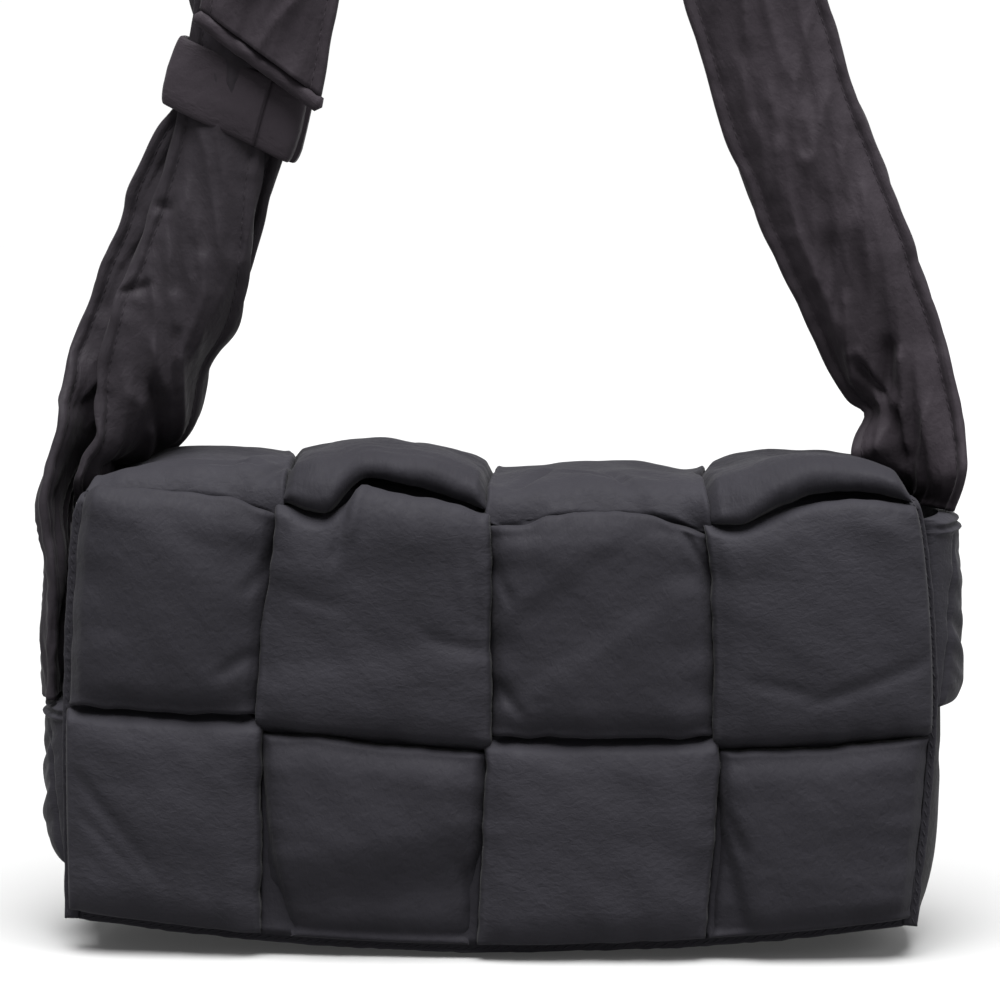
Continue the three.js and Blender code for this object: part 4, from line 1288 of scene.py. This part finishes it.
def keeper_part():
    """A band of cloth round the loop, with rounded edges and a lapped seam on its front."""
    outline, normal = keeper_outline()
    x, y = outline[:, :1], outline[:, 1:]
    walked, seed = lengths_along(outline)[:, None], SEEDS["strap_keeper"]
    section = full_turn(KEEPER_SIDES)
    half_length = KEEPER.length / 2
    along = blunt(np.sin(section), KEEPER_BLUNT.along) * half_length
    through_wall = blunt(np.cos(section), KEEPER_BLUNT.through) * KEEPER.wall / 2
    at, reach = KEEPER_LAP.at, KEEPER_LAP.reach
    lap = KEEPER_LAP.height * smooth(x, at - reach, at + reach)
    groove = KEEPER_GROOVE.depth * near(x, at, KEEPER_GROOVE.width)
    pad = KEEPER_PAD * (1 - (along / half_length) ** 2) + bumps(KEEPER_WAVE, walked, along, seed)
    out = through_wall + pad * (through_wall > 0) - (y < 0) * (lap + groove)
    local_x = x + normal[:, :1] * out
    local_y = y + normal[:, 1:] * out
    local_z = along + KEEPER_SLANT * local_x + bumps(KEEPER_SWAY, walked, BETWEEN_LINES, seed)
    c, s = math.cos(KEEPER.tilt), math.sin(KEEPER.tilt)
    points = grid(c * local_x + s * local_z, local_y, -s * local_x + c * local_z) + KEEPER_AT
    around = np.linspace(0, 2 * KEEPER.length, KEEPER_SIDES + 1)
    return tube(points, grid(walked, around), loop=True)


shoulder = strap_part("shoulder_strap", SHOULDER_STRAP)
add_piece("shoulder_strap_padded", "shoulder_strap", shoulder, "strap_nylon")
loop = strap_part("strap_loop", STRAP_LOOP)
# painted shade: the loop takes a darker copy of the strap's nylon
add_piece("strap_loop_padded", "strap_loop", loop, "loop_nylon_painted_shade")
add_piece("strap_keeper_cloth", "strap_keeper", keeper_part(), "strap_nylon")
add_piece("strap_end_hem_rolled", "strap_end_hem", rolled_hem(), "strap_nylon")


# Floor, light and camera

def add_floor():
    bpy.ops.mesh.primitive_plane_add(size=FLOOR_SIZE)
    floor = bpy.context.object
    floor.name = "floor"
    material = bpy.data.materials.new("floor_paper")
    material.use_nodes = True
    for socket, value in FLOOR.items():
        material.node_tree.nodes["Principled BSDF"].inputs[socket].default_value = value
    floor.data.materials.append(material)


def add_lamp(name, strength, softness, source):
    lamp = bpy.data.objects.new(name, bpy.data.lights.new(name, "SUN"))
    lamp.data.energy = strength
    lamp.data.angle = softness
    lamp.rotation_euler = (-source).to_track_quat("-Z", "Y").to_euler()
    bpy.context.scene.collection.objects.link(lamp)


def add_camera():
    camera = bpy.data.objects.new("camera", bpy.data.cameras.new("camera"))
    back = Vector((
        math.sin(CAMERA_AZIMUTH) * math.cos(CAMERA_ELEVATION),
        -math.cos(CAMERA_AZIMUTH) * math.cos(CAMERA_ELEVATION),
        math.sin(CAMERA_ELEVATION),
    ))
    camera.location = CAMERA_TARGET + back * CAMERA_DISTANCE
    camera.rotation_euler = (-back).to_track_quat("-Z", "Y").to_euler()
    camera.data.lens = camera.data.sensor_width * CAMERA_DISTANCE / CAMERA_VIEW_WIDTH
    bpy.context.scene.collection.objects.link(camera)
    bpy.context.scene.camera = camera


def add_world():
    world = bpy.data.worlds.new("studio")
    world.use_nodes = True
    tree = world.node_tree
    background = tree.nodes["Background"]
    background.inputs["Color"].default_value = WHITE
    direction = node(tree, "ShaderNodeTexCoord", {}).outputs["Generated"]
    backward = node(tree, "ShaderNodeSeparateXYZ", {"Vector": direction}).outputs["Y"]
    turn = {"Value": backward, "From Min": SURROUND_TURN.front, "From Max": SURROUND_TURN.back}
    shades = {"To Min": SURROUND.front, "To Max": SURROUND.back}
    strength = node(tree, "ShaderNodeMapRange", {**turn, **shades}).outputs["Result"]
    tree.links.new(strength, background.inputs["Strength"])
    bpy.context.scene.world = world


add_floor()
add_world()
for row in LAMPS:
    add_lamp(*row)
add_camera()
bpy.context.scene.view_settings.view_transform = "Standard"
